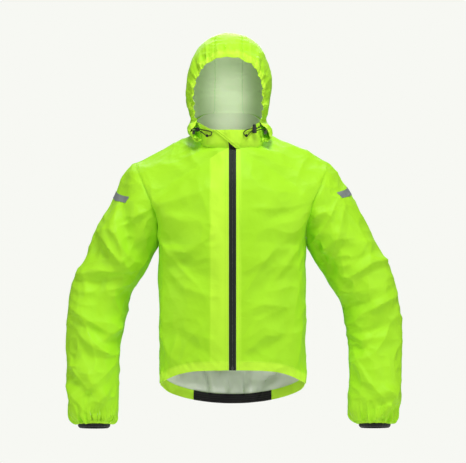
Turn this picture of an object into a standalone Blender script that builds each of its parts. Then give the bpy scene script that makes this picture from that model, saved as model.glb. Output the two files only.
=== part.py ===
"""A hooded rain jacket, hollow, in the form that it has on a wearer whose arms hang a little out.

Left and right are the wearer's. The wearer faces -Y, so the left is +X, and +Z is up. The origin is in the
middle of the neck hole, level with the shoulders. Sizes are in metres.

Each cloth piece is a grid of outer points, rows by columns, worked out from short tables, and a second grid a
cloth's thickness inside it. Columns crossed with rows point outwards. Two pieces that are sewn together share the
points of their seam, but for a small gap, and the direction in which their walls are measured there.
"""

import bpy
import numpy as np

# Driving sizes
CLOTH = 0.0014  # coated nylon with its inner face, as thick as the thinnest wall that stays a solid
SEAM = 0.0003  # between two pieces that are sewn together
ZIP_HALF = 0.0095  # the fronts end this far from the middle
CASING = 0.023  # height of the hem's turn-up
CUFF_HEIGHT = 0.010
ELASTIC = 0.0018  # thickness of the elastic bindings
STRIP_HALF = 0.038  # half the width of the hood's middle panel
CORD = 0.0026  # diameter of the drawcord
HOOD_LEAN = -0.0106  # the hood sits this far to the wearer's right
LEAN_FROM, LEAN_OVER = -0.02, 0.08  # the height where that starts, and the height that it takes

# Places up the body's pieces, from 0 at the hem to 1 at the shoulder seam
UNDERARM = 0.55
NECK_FOOT = 0.775  # here the fronts' inner edge leaves the zip and follows the neck
CASING_TOP = 0.0395
LOW_ROWS, ARM_ROWS = 11, 14
FRONT_COLUMNS = 9
BACK_NECK_COLUMNS, BACK_SHOULDER_COLUMNS = 4, 6  # in each half
BACK_NECK_SHARE = 0.31  # of a half of the back, from its middle

# Turns round the neck, in degrees from the middle of the front
ZIP_TURN, SHOULDER_TURN, BACK_TURN = 7, 100, 180

# place up, y, z: the fronts' edge along the zip
CENTRE_FRONT = (
    (0.000, -0.118, -0.592),
    (0.200, -0.130, -0.480),
    (0.400, -0.139, -0.360),
    (0.550, -0.145, -0.265),
    (0.650, -0.145, -0.175),
    (0.720, -0.126, -0.085),
    (0.775, -0.0922, -0.018),
)

# place up, y, z: the middle of the back
CENTRE_BACK = (
    (0.000, 0.118, -0.703),
    (0.200, 0.120, -0.570),
    (0.400, 0.127, -0.400),
    (0.550, 0.134, -0.272),
    (0.700, 0.133, -0.160),
    (0.850, 0.112, -0.055),
    (1.000, 0.070, 0.036),
)

# place up, x, y, z: the side seam
SIDE_SEAM = (
    (0.000, 0.1950, 0.004, -0.636),
    (0.220, 0.1935, 0.004, -0.500),
    (0.420, 0.1938, 0.002, -0.360),
    (0.550, 0.1955, 0.000, -0.272),
)

# place up, x, y of the front, y of the back, z: the two sides of the armhole
ARMHOLE = (
    (0.550, 0.1955, 0.000, 0.000, -0.272),
    (0.600, 0.1935, -0.030, 0.030, -0.250),
    (0.650, 0.1940, -0.052, 0.052, -0.216),
    (0.730, 0.2045, -0.069, 0.072, -0.172),
    (0.820, 0.2250, -0.068, 0.077, -0.128),
    (0.910, 0.2440, -0.043, 0.058, -0.084),
    (1.000, 0.2580, 0.012, 0.012, -0.049),
)

# place up, then for front and back: fullness of a row (2 is an ellipse, 1 a straight line), how late it drops, and how
# round (1 follows a power, 2 a quarter of an ellipse)
ROW_SHAPE = (
    (0.00, 2.5, 3.5, 1.0, 2.5, 2.0, 2.0),
    (0.20, 2.5, 2.5, 1.0, 2.5, 2.0, 1.0),
    (0.55, 2.4, 1.5, 1.0, 2.4, 1.3, 1.0),
    (0.72, 2.1, 1.2, 1.0, 2.2, 1.1, 1.0),
    (0.87, 1.6, 1.0, 1.0, 1.7, 1.0, 1.0),
    (1.00, 1.0, 1.0, 1.0, 1.0, 1.0, 1.0),
)

# turn, x, y, z: the neck hole, one half
NECK = (
    (7, 0.0095, -0.0922, -0.018),
    (30, 0.0430, -0.0830, -0.017),
    (58, 0.0740, -0.0560, -0.011),
    (80, 0.0870, -0.0200, 0.008),
    (100, 0.0900, 0.0120, 0.030),
    (135, 0.0660, 0.0500, 0.036),
    (180, 0.0000, 0.0700, 0.036),
)

# turn, x, y, z: the collar's top edge, one half
COLLAR_TOP = (
    (7, 0.0095, -0.0990, 0.0284),
    (30, 0.0440, -0.0890, 0.0300),
    (58, 0.0735, -0.0600, 0.0470),
    (80, 0.0845, -0.0220, 0.0560),
    (100, 0.0860, 0.0120, 0.0610),
    (135, 0.0620, 0.0520, 0.0800),
    (180, 0.0000, 0.0730, 0.0860),
)
COLLAR_BELLY = 0.003
COLLAR_ROWS = 3

# along, outer x, outer z, inner x, inner z, half depth, middle y, tilt of the ring's front edge
SLEEVE_RIGHT = (
    (0.00, 0.2580, -0.049, 0.1955, -0.272, 0.074, 0.004, 0.00),
    (0.04, 0.2850, -0.076, 0.2000, -0.281, 0.079, 0.004, 0.00),
    (0.08, 0.3010, -0.109, 0.2060, -0.290, 0.083, 0.004, 0.00),
    (0.16, 0.3330, -0.172, 0.2190, -0.315, 0.084, 0.004, 0.00),
    (0.24, 0.3640, -0.236, 0.2370, -0.347, 0.082, 0.006, 0.00),
    (0.32, 0.3880, -0.300, 0.2560, -0.379, 0.079, 0.010, 0.00),
    (0.41, 0.4200, -0.363, 0.2690, -0.411, 0.077, 0.012, 0.00),
    (0.49, 0.4360, -0.427, 0.2820, -0.451, 0.075, 0.012, 0.00),
    (0.57, 0.4410, -0.490, 0.2915, -0.4955, 0.073, 0.008, 0.00),
    (0.64, 0.4440, -0.538, 0.2980, -0.538, 0.071, 0.002, 0.00),
    (0.71, 0.4400, -0.586, 0.3008, -0.580, 0.069, -0.006, 0.03),
    (0.78, 0.4360, -0.633, 0.3008, -0.628, 0.067, -0.014, 0.06),
    (0.85, 0.4330, -0.681, 0.3008, -0.676, 0.065, -0.022, 0.09),
    (0.91, 0.4320, -0.711, 0.3020, -0.708, 0.062, -0.028, 0.12),
    (0.96, 0.4240, -0.730, 0.3070, -0.730, 0.054, -0.031, 0.15),
    (1.00, 0.4055, -0.7410, 0.3220, -0.7410, 0.040, -0.033, 0.18),
)
SLEEVE_LEFT = (
    (0.00, 0.2580, -0.049, 0.1955, -0.272, 0.074, 0.004, 0.00),
    (0.04, 0.2820, -0.076, 0.1985, -0.280, 0.079, 0.004, 0.00),
    (0.08, 0.2980, -0.109, 0.2040, -0.288, 0.083, 0.004, 0.00),
    (0.16, 0.3350, -0.172, 0.2186, -0.315, 0.084, 0.004, 0.00),
    (0.24, 0.3670, -0.236, 0.2425, -0.347, 0.082, 0.006, 0.00),
    (0.32, 0.4030, -0.300, 0.2610, -0.379, 0.079, 0.010, 0.00),
    (0.41, 0.4280, -0.363, 0.2820, -0.411, 0.077, 0.012, 0.00),
    (0.49, 0.4410, -0.427, 0.2930, -0.4505, 0.075, 0.012, 0.00),
    (0.57, 0.4465, -0.490, 0.3020, -0.4955, 0.073, 0.008, 0.00),
    (0.64, 0.4465, -0.538, 0.3060, -0.538, 0.071, 0.002, 0.00),
    (0.71, 0.4440, -0.586, 0.3074, -0.582, 0.069, -0.006, 0.03),
    (0.78, 0.4410, -0.633, 0.3087, -0.630, 0.067, -0.014, 0.06),
    (0.85, 0.4410, -0.681, 0.3070, -0.678, 0.065, -0.022, 0.09),
    (0.91, 0.4370, -0.711, 0.3080, -0.708, 0.062, -0.028, 0.12),
    (0.96, 0.4290, -0.729, 0.3170, -0.729, 0.054, -0.031, 0.15),
    (1.00, 0.4147, -0.7400, 0.3326, -0.7400, 0.040, -0.033, 0.18),
)
SLEEVE_PLACES = np.concatenate([[0, 0.03, 0.06], np.linspace(0.1, 0.94, 17), [0.97, 1.0]])
CAP_LENGTH = 0.30  # along the sleeve, over which the armhole's form turns into a plain ring
CUFF_GATHER = 0.0028  # how far the gathers at the cuff stand in and out
CUFF_GATHER_FROM = 0.80  # along the sleeve

# The hood's form: z, half width, depth in front, depth behind. Above HOOD_LEVEL it closes to a dome.
HOOD_LEVEL, HOOD_RISE, HOOD_FULLNESS = 0.146, 0.146, 2.1
HOOD_FORM = (
    (0.046, 0.0955, 0.094, 0.0745),
    (0.060, 0.0985, 0.100, 0.0755),
    (0.078, 0.1040, 0.109, 0.0765),
    (0.090, 0.1070, 0.116, 0.0820),
    (0.100, 0.1090, 0.121, 0.0930),
    (0.120, 0.1110, 0.127, 0.1130),
    (0.146, 0.1126, 0.130, 0.1240),
)

# place, x, z: the edge of the face opening, from the hood's lower corner to its middle panel
FACE_EDGE = (
    (0.0, 0.0837, 0.055),
    (0.2, 0.0900, 0.088),
    (0.4, 0.0892, 0.124),
    (0.6, 0.0820, 0.158),
    (0.8, 0.0650, 0.190),
    (1.0, 0.0380, 0.2095),
)
BRIM_RISE = 0.005  # the brim's middle above its corners
CROWN_Y = 0.068  # the middle panel turns from the crown to the back here
NAPE_Z = 0.091  # the hood's form starts here behind, above the collar
FACE_WAVE = 0.0022  # how far the gathers of the face edge stand in and out
HOOD_ROWS, HOOD_COLUMNS, STRIP_COLUMNS = 16, 9, 4

# place, share of the reach, share of the depth: the fold that hangs from the hood's foot outside the collar
FOLD = (
    (0.00, 0.00, 0.00),
    (0.20, 0.03, 0.45),
    (0.38, 0.08, 0.90),
    (0.50, 0.30, 1.00),
    (0.64, 0.82, 0.90),
    (0.76, 0.96, 0.62),
    (0.88, 0.72, 0.34),
)
# turn, reach, depth: that fold, from the hood's corner to the middle of the back
FOLD_SIZE = (
    (55, 0.030, 0.050),
    (75, 0.025, 0.036),
    (95, 0.015, 0.018),
    (120, 0.011, 0.009),
    (180, 0.008, 0.007),
)
FOLD_ROWS = 9
FOLD_CLEAR = 0.0020  # between the collar and the fold

# side (-1 front, 1 back), depth, half width, then x, z of the crease's points: all in millimetres
CREASES = (
    (-1, 8, 30, (-290, -150), (-284, -215), (-268, -285)),
    (-1, 7, 30, (-412, -366), (-340, -362), (-270, -338)),
    (-1, 6, 30, (-338, -330), (-352, -410), (-362, -500)),
    (-1, 8, 30, (-440, -535), (-402, -600), (-372, -652)),
    (-1, 8, 28, (-302, -572), (-340, -606), (-372, -652)),
    (-1, 8, 28, (208, -262), (232, -305), (262, -352)),
    (-1, 7, 28, (296, -312), (338, -302), (384, -280)),
    (-1, 8, 28, (306, -430), (352, -420), (412, -392)),
    (-1, 6, 26, (303, -503), (350, -500), (398, -480)),
    (-1, 8, 28, (308, -540), (344, -590), (380, -645)),
    (-1, 7, 26, (352, -702), (392, -684), (438, -645)),
    (-1, 5, 36, (-186, -240), (-120, -330), (-50, -420)),
    (-1, 5, 36, (188, -236), (120, -320), (58, -420)),
    (-1, 3, 30, (-205, -166), (-150, -176), (-84, -196)),
    (-1, 3, 30, (200, -166), (140, -184), (78, -210)),
    (-1, 4, 28, (-185, -470), (-110, -520), (-45, -566)),
    (-1, 4, 28, (185, -460), (110, -522), (42, -572)),
    (1, 7, 34, (-190, -250), (-110, -330), (-20, -380)),
    (1, 7, 34, (190, -246), (118, -322), (30, -372)),
    (1, 5, 32, (-150, -470), (-60, -520), (30, -530)),
    (1, 5, 32, (160, -540), (80, -590), (-10, -600)),
    (1, 8, 30, (-408, -372), (-345, -384), (-285, -360)),
    (1, 7, 28, (-430, -470), (-370, -480), (-300, -455)),
    (1, 7, 28, (-420, -600), (-360, -640), (-312, -690)),
    (1, 8, 30, (412, -360), (350, -372), (290, -350)),
    (1, 7, 28, (436, -460), (380, -474), (310, -452)),
    (1, 7, 28, (428, -610), (370, -650), (322, -700)),
)
MM = 0.001

# x, y, z: the drawcords' routes, out of the hood's channel, through the lock, round the loop and back to the tab
CORD_RIGHT = (
    (-0.1085, -0.0715, 0.0250),
    (-0.1062, -0.0762, 0.0300),
    (-0.1020, -0.0796, 0.0328),
    (-0.0965, -0.0812, 0.0330),
    (-0.0905, -0.0815, 0.0325),
    (-0.0840, -0.0815, 0.0312),
    (-0.0770, -0.0812, 0.0292),
    (-0.0690, -0.0815, 0.0276),
    (-0.0610, -0.0856, 0.0262),
    (-0.0552, -0.0905, 0.0236),
    (-0.0535, -0.0930, 0.0188),
    (-0.0570, -0.0912, 0.0144),
    (-0.0630, -0.0872, 0.0130),
    (-0.0695, -0.0838, 0.0155),
    (-0.0770, -0.0822, 0.0212),
    (-0.0840, -0.0816, 0.0262),
    (-0.0905, -0.0815, 0.0283),
    (-0.0972, -0.0812, 0.0280),
    (-0.1012, -0.0788, 0.0262),
)
CORD_LEFT = (
    (0.0715, -0.0655, 0.0490),
    (0.0735, -0.0722, 0.0456),
    (0.0728, -0.0800, 0.0412),
    (0.0694, -0.0862, 0.0362),
    (0.0640, -0.0890, 0.0328),
    (0.0604, -0.0890, 0.0318),
    (0.0568, -0.0890, 0.0317),
    (0.0515, -0.0890, 0.0317),
    (0.0450, -0.0908, 0.0312),
    (0.0370, -0.0945, 0.0286),
    (0.0308, -0.0980, 0.0240),
    (0.0288, -0.0990, 0.0186),
    (0.0325, -0.0980, 0.0138),
    (0.0395, -0.0948, 0.0148),
    (0.0448, -0.0912, 0.0214),
    (0.0510, -0.0890, 0.0267),
    (0.0568, -0.0890, 0.0270),
    (0.0610, -0.0890, 0.0272),
    (0.0655, -0.0880, 0.0280),
    (0.0712, -0.0836, 0.0300),
    (0.0778, -0.0796, 0.0300),
    (0.0842, -0.0764, 0.0280),
)
CORD_POINTS = 36

# The cord locks: middle, and the barrel's axis
LOCK_RIGHT = ((-0.0905, -0.0815, 0.0304), (0, -1, 0))
LOCK_LEFT = ((0.0568, -0.0890, 0.0293), (0, 0, 1))
LOCK_RADIUS, LOCK_BACK, LOCK_FRONT = 0.0060, 0.0090, 0.0072
PLUNGER_RADIUS, PLUNGER_LENGTH = 0.0047, 0.0060
SLOT_TALL, SLOT_DEEP = 0.0092, 0.0042

# The beads on the loops: place along the cord
BEADS = {"left": 12.55 / 21, "right": 12.5 / 18}
BEAD_RADIUS, BEAD_BORE, BEAD_HALF = 0.0040, 0.0020, 0.0026

# The tabs that hold the cords' ends: middle
TABS = {"right": (-0.1010, -0.0762, 0.0235), "left": (0.0852, -0.0742, 0.0235)}
TAB_WIDE, TAB_TALL, TAB_THICK = 0.0070, 0.0100, 0.0012

# The zip
TAPE, TAPE_SINK = 0.0010, 0.0005
COIL_HALF, COIL = 0.0019, 0.0014
STOP_Z = (-0.5890, -0.5830)
STOP_HALF, STOP_THICK = 0.0032, 0.0014
SLIDER_Z, SLIDER_HALF = 0.006, 0.0040
# out from the tape, up from SLIDER_Z: the slider's side view, its pull tab hanging in front of the body
SLIDER_PROFILE = (
    (0.0006, 0.0000),
    (0.0018, 0.0000),
    (0.0018, 0.0060),
    (0.0021, 0.0060),
    (0.0021, -0.0090),
    (0.0032, -0.0090),
    (0.0032, 0.0085),
    (0.0024, 0.0100),
    (0.0006, 0.0100),
)

# share of the collar's height, x of the chin flap's free edge, x of its sewn edge
CHIN_FLAP = (
    (0.00, 0.0085, 0.0170),
    (0.25, -0.0050, 0.0210),
    (0.50, -0.0180, 0.0260),
    (0.75, -0.0300, 0.0310),
    (1.00, -0.0430, 0.0360),
)
CHIN_COLUMNS = 8
CHIN_CLEAR, CHIN_SLIDER_CLEAR, CHIN_SLIDER_REACH = 0.0008, 0.0040, 0.020

FACING = 0.0009  # thickness of the turn-ups and the storm flap
GRIPPER = 0.0016

# The reflective strips, by their place on the sleeve
STRIP_PLACES = {"right": 0.113, "left": 0.102}
STRIP_CLIMB, STRIP_HALF_PLACE = 0.077, 0.0116
STRIP_TURNS = {"right": (-55, 55), "left": (-55, 46)}
STRIP_LIFT, STRIP_THICK = 0.0015, 0.0009
STRIP_ROWS, STRIP_COLUMNS_ROUND = 4, 20


def curve(places, values, at):
    """A smooth curve that passes through values at places, read at other places."""
    places = np.asarray(places, float)
    values = np.asarray(values, float)
    slopes = np.gradient(values, places, axis=0)
    at = np.clip(np.asarray(at, float), places[0], places[-1])
    i = np.clip(np.searchsorted(places, at, side="right") - 1, 0, len(places) - 2)
    spare = (1,) * (values.ndim - 1)
    width = (places[i + 1] - places[i]).reshape(at.shape + spare)
    t = (at - places[i]).reshape(at.shape + spare) / width
    return (
        (1 + 2 * t) * (1 - t) ** 2 * values[i]
        + t * (1 - t) ** 2 * width * slopes[i]
        + t * t * (3 - 2 * t) * values[i + 1]
        + t * t * (t - 1) * width * slopes[i + 1]
    )


def through(table, at):
    """The same for a table, whose first column is the places."""
    table = np.array(table)
    return curve(table[:, 0], table[:, 1:], at)


def smooth(t):
    t = np.clip(t, 0, 1)
    return t * t * (3 - 2 * t)


def unit(vectors):
    return vectors / np.linalg.norm(vectors, axis=-1, keepdims=True)


def mirrored(grid, closed=False):
    """The other side's grid: x turned round, and the columns too, so that it still faces outwards."""
    grid = (grid * (-1, 1, 1))[:, ::-1]
    return np.roll(grid, 1, axis=1) if closed else grid


def outward(grid, closed=False):
    """Unit normals: the way along a row crossed with the way up a column."""
    if closed:
        along = np.roll(grid, -1, axis=1) - np.roll(grid, 1, axis=1)
    else:
        along = np.gradient(grid, axis=1)
    return unit(np.cross(along, np.gradient(grid, axis=0)))


def leant(points):
    """The neck and hood moved towards the wearer's right, more with height."""
    shift = HOOD_LEAN * smooth((points[..., 2] - LEAN_FROM) / LEAN_OVER)
    return points + shift[..., None] * (1, 0, 0)


def dented(points, inward):
    """Points moved in along the creases. A crease is deepest on its line and fades towards its ends and sides."""
    depth = np.zeros(points.shape[:-1])
    flat = points[..., (0, 2)]
    for side, deep, half, *line in CREASES:
        line = np.array(line) * MM
        best = np.zeros_like(depth)
        for i in range(len(line) - 1):
            way = line[i + 1] - line[i]
            t = np.clip(((flat - line[i]) @ way) / (way @ way), 0, 1)
            away = np.linalg.norm(flat - line[i] - t[..., None] * way, axis=-1)
            along = (i + t) / (len(line) - 1)
            fade = 0.35 + 0.65 * np.sin(np.pi * along)
            best = np.maximum(best, fade * smooth(1 - away / (half * MM)))
        facing = smooth((-side * inward[..., 1] - 0.1) / 0.5)
        depth += deep * MM * best * facing
    return points + depth[..., None] * inward


def material(name, colour, roughness):
    made = bpy.data.materials.new(name)
    made.use_nodes = True
    shader = made.node_tree.nodes["Principled BSDF"]
    shader.inputs["Base Color"].default_value = (*colour, 1)
    shader.inputs["Roughness"].default_value = roughness
    return made


def added(name, mesh, made):
    mesh.materials.append(made)
    piece = bpy.data.objects.new(name, mesh)
    bpy.context.collection.objects.link(piece)
    return piece


def mesh_of(name, points, faces):
    mesh = bpy.data.meshes.new(name)
    mesh.from_pydata([tuple(p) for p in points], [], [tuple(f) for f in faces])
    mesh.shade_smooth()
    mesh.set_sharp_from_angle(angle=np.radians(40))
    return mesh


def wall(name, made, outer, inward, thick=CLOTH, closed=False):
    """A closed body between a grid of outer points and the same points moved in, with its edges filled.

    Every four-sided cell is cut along the same diagonal on both skins, so that two layers stay parallel.
    """
    rows, columns = outer.shape[:2]
    count = rows * columns
    index = np.arange(count).reshape(rows, columns)
    if closed:
        index = np.concatenate([index, index[:, :1]], axis=1)
    a, b, c, d = index[:-1, :-1], index[:-1, 1:], index[1:, 1:], index[1:, :-1]
    skin = np.concatenate([np.stack([a, b, c], -1).reshape(-1, 3), np.stack([a, c, d], -1).reshape(-1, 3)])
    edges = [(index[0, :-1], index[0, 1:]), (index[-1, 1:], index[-1, :-1])]
    if not closed:
        edges += [(index[:-1, -1], index[1:, -1]), (index[1:, 0], index[:-1, 0])]
    rim = [np.stack(three, -1) for a, b in edges for three in ((b, a, a + count), (b, a + count, b + count))]
    faces = np.concatenate([skin, skin[:, ::-1] + count, *rim])
    points = np.concatenate([outer.reshape(-1, 3), (outer + thick * inward).reshape(-1, 3)])
    return added(name, mesh_of(name, points, faces), made)


# The body

UP = np.concatenate([[0], np.linspace(CASING_TOP, UNDERARM, LOW_ROWS), np.linspace(UNDERARM, 1, ARM_ROWS + 1)[1:]])
ARM_ROW = LOW_ROWS  # the row at the underarm
NECK_ROW = ARM_ROW + ARM_ROWS // 2  # the row at the neck's foot


def neck_turn(up):
    """The turn round the neck of a front's inner edge."""
    return ZIP_TURN + (SHOULDER_TURN - ZIP_TURN) * (up - NECK_FOOT) / (1 - NECK_FOOT)


def side_edge(front):
    """The side seam's points and then the armhole's, on the front or on the back."""
    arm = through(ARMHOLE, UP[ARM_ROW:])[:, (0, 1, 3) if front else (0, 2, 3)]
    return np.concatenate([through(SIDE_SEAM, UP[:ARM_ROW]), arm])


def arc(inner, outer, fullness, late, roundness, share):
    """Rows that bend from an inner edge's point to an outer edge's, as a quarter of a superellipse."""
    turn = share * np.pi / 2
    across = np.sin(turn) ** (2 / fullness[:, None])
    ahead = np.cos(turn) ** (2 / fullness[:, None])
    x = inner[:, :1] + (outer[:, :1] - inner[:, :1]) * across
    y = outer[:, 1:2] + (inner[:, 1:2] - outer[:, 1:2]) * ahead
    drop = 1 - np.maximum(1 - across ** late[:, None], 0) ** (1 / roundness[:, None])
    z = inner[:, 2:] + (outer[:, 2:] - inner[:, 2:]) * drop
    return np.stack([x, y, z], -1)


def front_grid():
    """The left front: rows go up, and columns go from the zip to the side."""
    centre = through(CENTRE_FRONT, UP)
    inner = np.column_stack([np.full(len(UP), ZIP_HALF), centre])
    inner[NECK_ROW:] = through(NECK, neck_turn(UP[NECK_ROW:]))
    outer = side_edge(front=True) - (0, SEAM / 2, 0)
    fullness, late, roundness = through(ROW_SHAPE, UP)[:, :3].T
    grid = arc(inner, outer, fullness, late, roundness, np.linspace(0, 1, FRONT_COLUMNS + 1))
    grid[-1, :, 1] -= SEAM / 2
    return grid


def back_grid():
    """The back: rows go up, and columns go from the wearer's left side to the right."""
    neck = np.linspace(0, BACK_NECK_SHARE, BACK_NECK_COLUMNS + 1)
    shoulder = np.linspace(BACK_NECK_SHARE, 1, BACK_SHOULDER_COLUMNS + 1)[1:]
    share = np.concatenate([neck, shoulder])
    inner = np.column_stack([np.zeros(len(UP)), through(CENTRE_BACK, UP)])
    outer = side_edge(front=False) + (0, SEAM / 2, 0)
    fullness, late, roundness = through(ROW_SHAPE, UP)[:, 3:].T
    half = arc(inner, outer, fullness, late, roundness, share)
    around = through(NECK, BACK_TURN - (BACK_TURN - SHOULDER_TURN) * neck / BACK_NECK_SHARE)
    along = ((shoulder - BACK_NECK_SHARE) / (1 - BACK_NECK_SHARE))[:, None]
    top = np.concatenate([around, around[-1] + (outer[-1] - around[-1]) * along])
    half += smooth((UP - 0.74) / 0.26)[:, None, None] ** 1.5 * (top - half[-1])
    half[-1, 1:, 1] += SEAM / 2
    return np.concatenate([half[:, ::-1], (half * (-1, 1, 1))[:, 1:]], axis=1)


# The sleeves


def armhole():
    """The left armhole, from the shoulder's tip down the front to the underarm and up the back."""
    down, up = side_edge(front=True)[ARM_ROW:][::-1], side_edge(front=False)[ARM_ROW:]
    return np.concatenate([down, up[1:-1]])


def ring_turns(loop):
    """Each armhole point's turn round the sleeve, by its distance from the shoulder's tip."""
    step = np.linalg.norm(np.diff(np.concatenate([loop, loop[:1]]), axis=0), axis=1)
    half = len(loop) // 2
    front, back = step[:half], step[half:]
    turn = np.concatenate([[0], np.cumsum(front) / front.sum(), 1 + np.cumsum(back) / back.sum()])
    return turn[:-1] * np.pi


def sleeve_rings(table, places, turns):
    """Rings round the left sleeve: an ellipse between the outer and the inner edge, its front edge tilted up."""
    values = through(table, places)[:, None]
    outer, inner = values[..., 0:2], values[..., 2:4]
    deep, middle, tilt = values[..., 4], values[..., 5], values[..., 6]
    cos, sin = np.cos(turns), np.sin(turns)
    flat = (outer + inner) / 2 + (outer - inner) / 2 * cos[..., None]
    return np.stack([flat[..., 0], middle - deep * sin, flat[..., 1] + tilt * deep * sin], -1)


def sleeve_surface(table, places, turns, loop, loop_turns):
    """Those rings, with the first ones bent to the armhole."""
    extra = loop - sleeve_rings(table, np.zeros(1), loop_turns)[0]
    around = np.concatenate([loop_turns, [2 * np.pi]])
    extra = curve(around, np.concatenate([extra, extra[:1]]), np.asarray(turns) % (2 * np.pi))
    fade = 1 - smooth(np.asarray(places) / CAP_LENGTH)
    return sleeve_rings(table, places, turns) + fade[:, None, None] * extra


def sleeve_grid(table):
    loop = armhole()
    turns = ring_turns(loop)
    grid = sleeve_surface(table, SLEEVE_PLACES, turns, loop, turns)
    grid[0] += SEAM * unit(np.array((0.95, 0, -0.3)))
    gather = CUFF_GATHER * smooth((SLEEVE_PLACES - CUFF_GATHER_FROM) / (1 - CUFF_GATHER_FROM))
    sign = np.where(np.arange(len(turns)) % 2, 1, -1)
    return grid + (gather[:, None] * sign)[..., None] * outward(grid, closed=True)


# The collar and hood


def collar_points(turns, share):
    """Points of the collar's outside, at turns round the neck and at a share of its height."""
    low, high = through(NECK, turns), through(COLLAR_TOP, turns)
    low[:, 2] += 2 * SEAM
    share = np.asarray(share)[..., None]
    out = unit(low * (1, 1, 0))
    return low + (high - low) * share + COLLAR_BELLY * np.sin(np.pi * share) * out


def collar_grid(turns):
    """The left half: rows go up, and columns go from the zip to the middle of the back."""
    return collar_points(turns, np.linspace(0, 1, COLLAR_ROWS + 1)[:, None])


def hood_sizes(points):
    """Half width, and depth on the point's own side, of the hood's form at each point's height."""
    width, front, back = np.moveaxis(through(HOOD_FORM, np.minimum(points[..., 2], HOOD_LEVEL)), -1, 0)
    return width, np.where(points[..., 1] < 0, front, back)


def on_hood(points):
    """Points moved on to the hood's form: level with its axis below HOOD_LEVEL, and from its centre above."""
    width, deep = hood_sizes(points)
    above = np.maximum(points[..., 2] - HOOD_LEVEL, 0)
    size = (
        np.abs(points[..., 0] / width) ** HOOD_FULLNESS
        + np.abs(points[..., 1] / deep) ** HOOD_FULLNESS
        + (above / HOOD_RISE) ** HOOD_FULLNESS
    ) ** (-1 / HOOD_FULLNESS)
    z = np.where(above > 0, HOOD_LEVEL + above * size, points[..., 2])
    return np.stack([points[..., 0] * size, points[..., 1] * size, z], -1)


def hood_depth(x, z, side):
    """The point of the hood's form at x and z, in front (side -1) or behind (1)."""
    x, z = np.broadcast_arrays(np.asarray(x, float), np.asarray(z, float))
    probe = np.stack([x, np.full_like(x, side), z], -1)
    width, deep = hood_sizes(probe)
    above = np.maximum(z - HOOD_LEVEL, 0) / HOOD_RISE
    left = 1 - np.abs(x / width) ** HOOD_FULLNESS - above**HOOD_FULLNESS
    return np.stack([x, side * deep * np.maximum(left, 0) ** (1 / HOOD_FULLNESS), z], -1)


def hood_height(x, y):
    """The point of the hood's dome at x and y."""
    x, y = np.broadcast_arrays(np.asarray(x, float), np.asarray(y, float))
    probe = np.stack([x, y, np.full_like(x, HOOD_LEVEL)], -1)
    width, deep = hood_sizes(probe)
    left = 1 - np.abs(x / width) ** HOOD_FULLNESS - np.abs(y / deep) ** HOOD_FULLNESS
    return np.stack([x, y, HOOD_LEVEL + HOOD_RISE * np.maximum(left, 0) ** (1 / HOOD_FULLNESS)], -1)


def hood_foot(turns):
    """The line where the hood's form begins, a little above the collar's top edge."""
    low, high = FACE_EDGE[0][2], NAPE_Z
    first, last = turns[0], turns[-1]
    z = low + (high - low) * smooth((turns - first) / (last - first))
    turn = np.radians(turns)
    return on_hood(np.stack([np.sin(turn), -np.cos(turn), z], -1) * (0.1, 0.1, 1))


def hanging_fold(foot, turns):
    """Rows from the collar's top edge down outside the collar, round, and up to the hood's foot."""
    turn = np.radians(turns)
    out = np.stack([np.sin(turn), -np.cos(turn), np.zeros_like(turn)], -1)
    reach, depth = through(FOLD_SIZE, turns).T
    places, outs, downs = np.array(FOLD).T
    height = (through(COLLAR_TOP, turns) - through(NECK, turns))[:, 2]
    rows = collar_points(turns, np.maximum(1 - downs[:, None] * depth / height, 0))
    rows[..., 2] = through(COLLAR_TOP, turns)[:, 2] - downs[:, None] * depth
    rows = rows + (FOLD_CLEAR + outs[:, None, None] * reach[:, None]) * out
    rows = np.concatenate([rows, foot[None]])
    return curve(np.append(places, 1), rows, np.linspace(0, 1, FOLD_ROWS)[:-1])


def between(bottom, top, left, right):
    """A surface between four edges (a Coons patch)."""
    u = np.linspace(0, 1, len(bottom))[None, :, None]
    v = np.linspace(0, 1, len(left))[:, None, None]
    ruled = (1 - v) * bottom + v * top + (1 - u) * left[:, None] + u * right[:, None]
    corners = (1 - v) * ((1 - u) * bottom[0] + u * bottom[-1]) + v * ((1 - u) * top[0] + u * top[-1])
    return ruled - corners


def turn_of(point):
    return np.degrees(np.arctan2(point[0], -point[1]))


def hood_side_grid():
    """The left side: rows go up from the collar, and columns go from the face edge back to the middle panel."""
    edge = through(FACE_EDGE, np.linspace(0, 1, HOOD_ROWS))
    left = hood_depth(edge[:, 0], edge[:, 1], -1)
    seam_x = STRIP_HALF + SEAM / 2
    left[-1] = hood_depth(seam_x, FACE_EDGE[-1][2], -1)
    top = hood_height(seam_x, np.linspace(left[-1, 1], CROWN_Y, HOOD_COLUMNS + 1))
    right = hood_depth(seam_x, np.linspace(NAPE_Z, top[-1, 2], HOOD_ROWS), 1)
    turns = np.linspace(turn_of(left[0]), turn_of(right[0]), HOOD_COLUMNS + 1)
    bottom = hood_foot(turns)
    dome = on_hood(between(bottom, top, left, right))
    dome[0], dome[-1], dome[:, 0], dome[:, -1] = bottom, top, left, right
    grid = np.concatenate([hanging_fold(bottom, turns), dome])
    wave = np.where(np.arange(len(grid)) % 2, 1, -1) * FACE_WAVE
    wave[-1] = wave[0] = 0
    fade = np.clip(1 - np.linspace(0, 1, HOOD_COLUMNS + 1) * 2.5, 0, 1) ** 1.5
    return grid + (wave[:, None] * fade)[..., None] * outward(grid)


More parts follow.
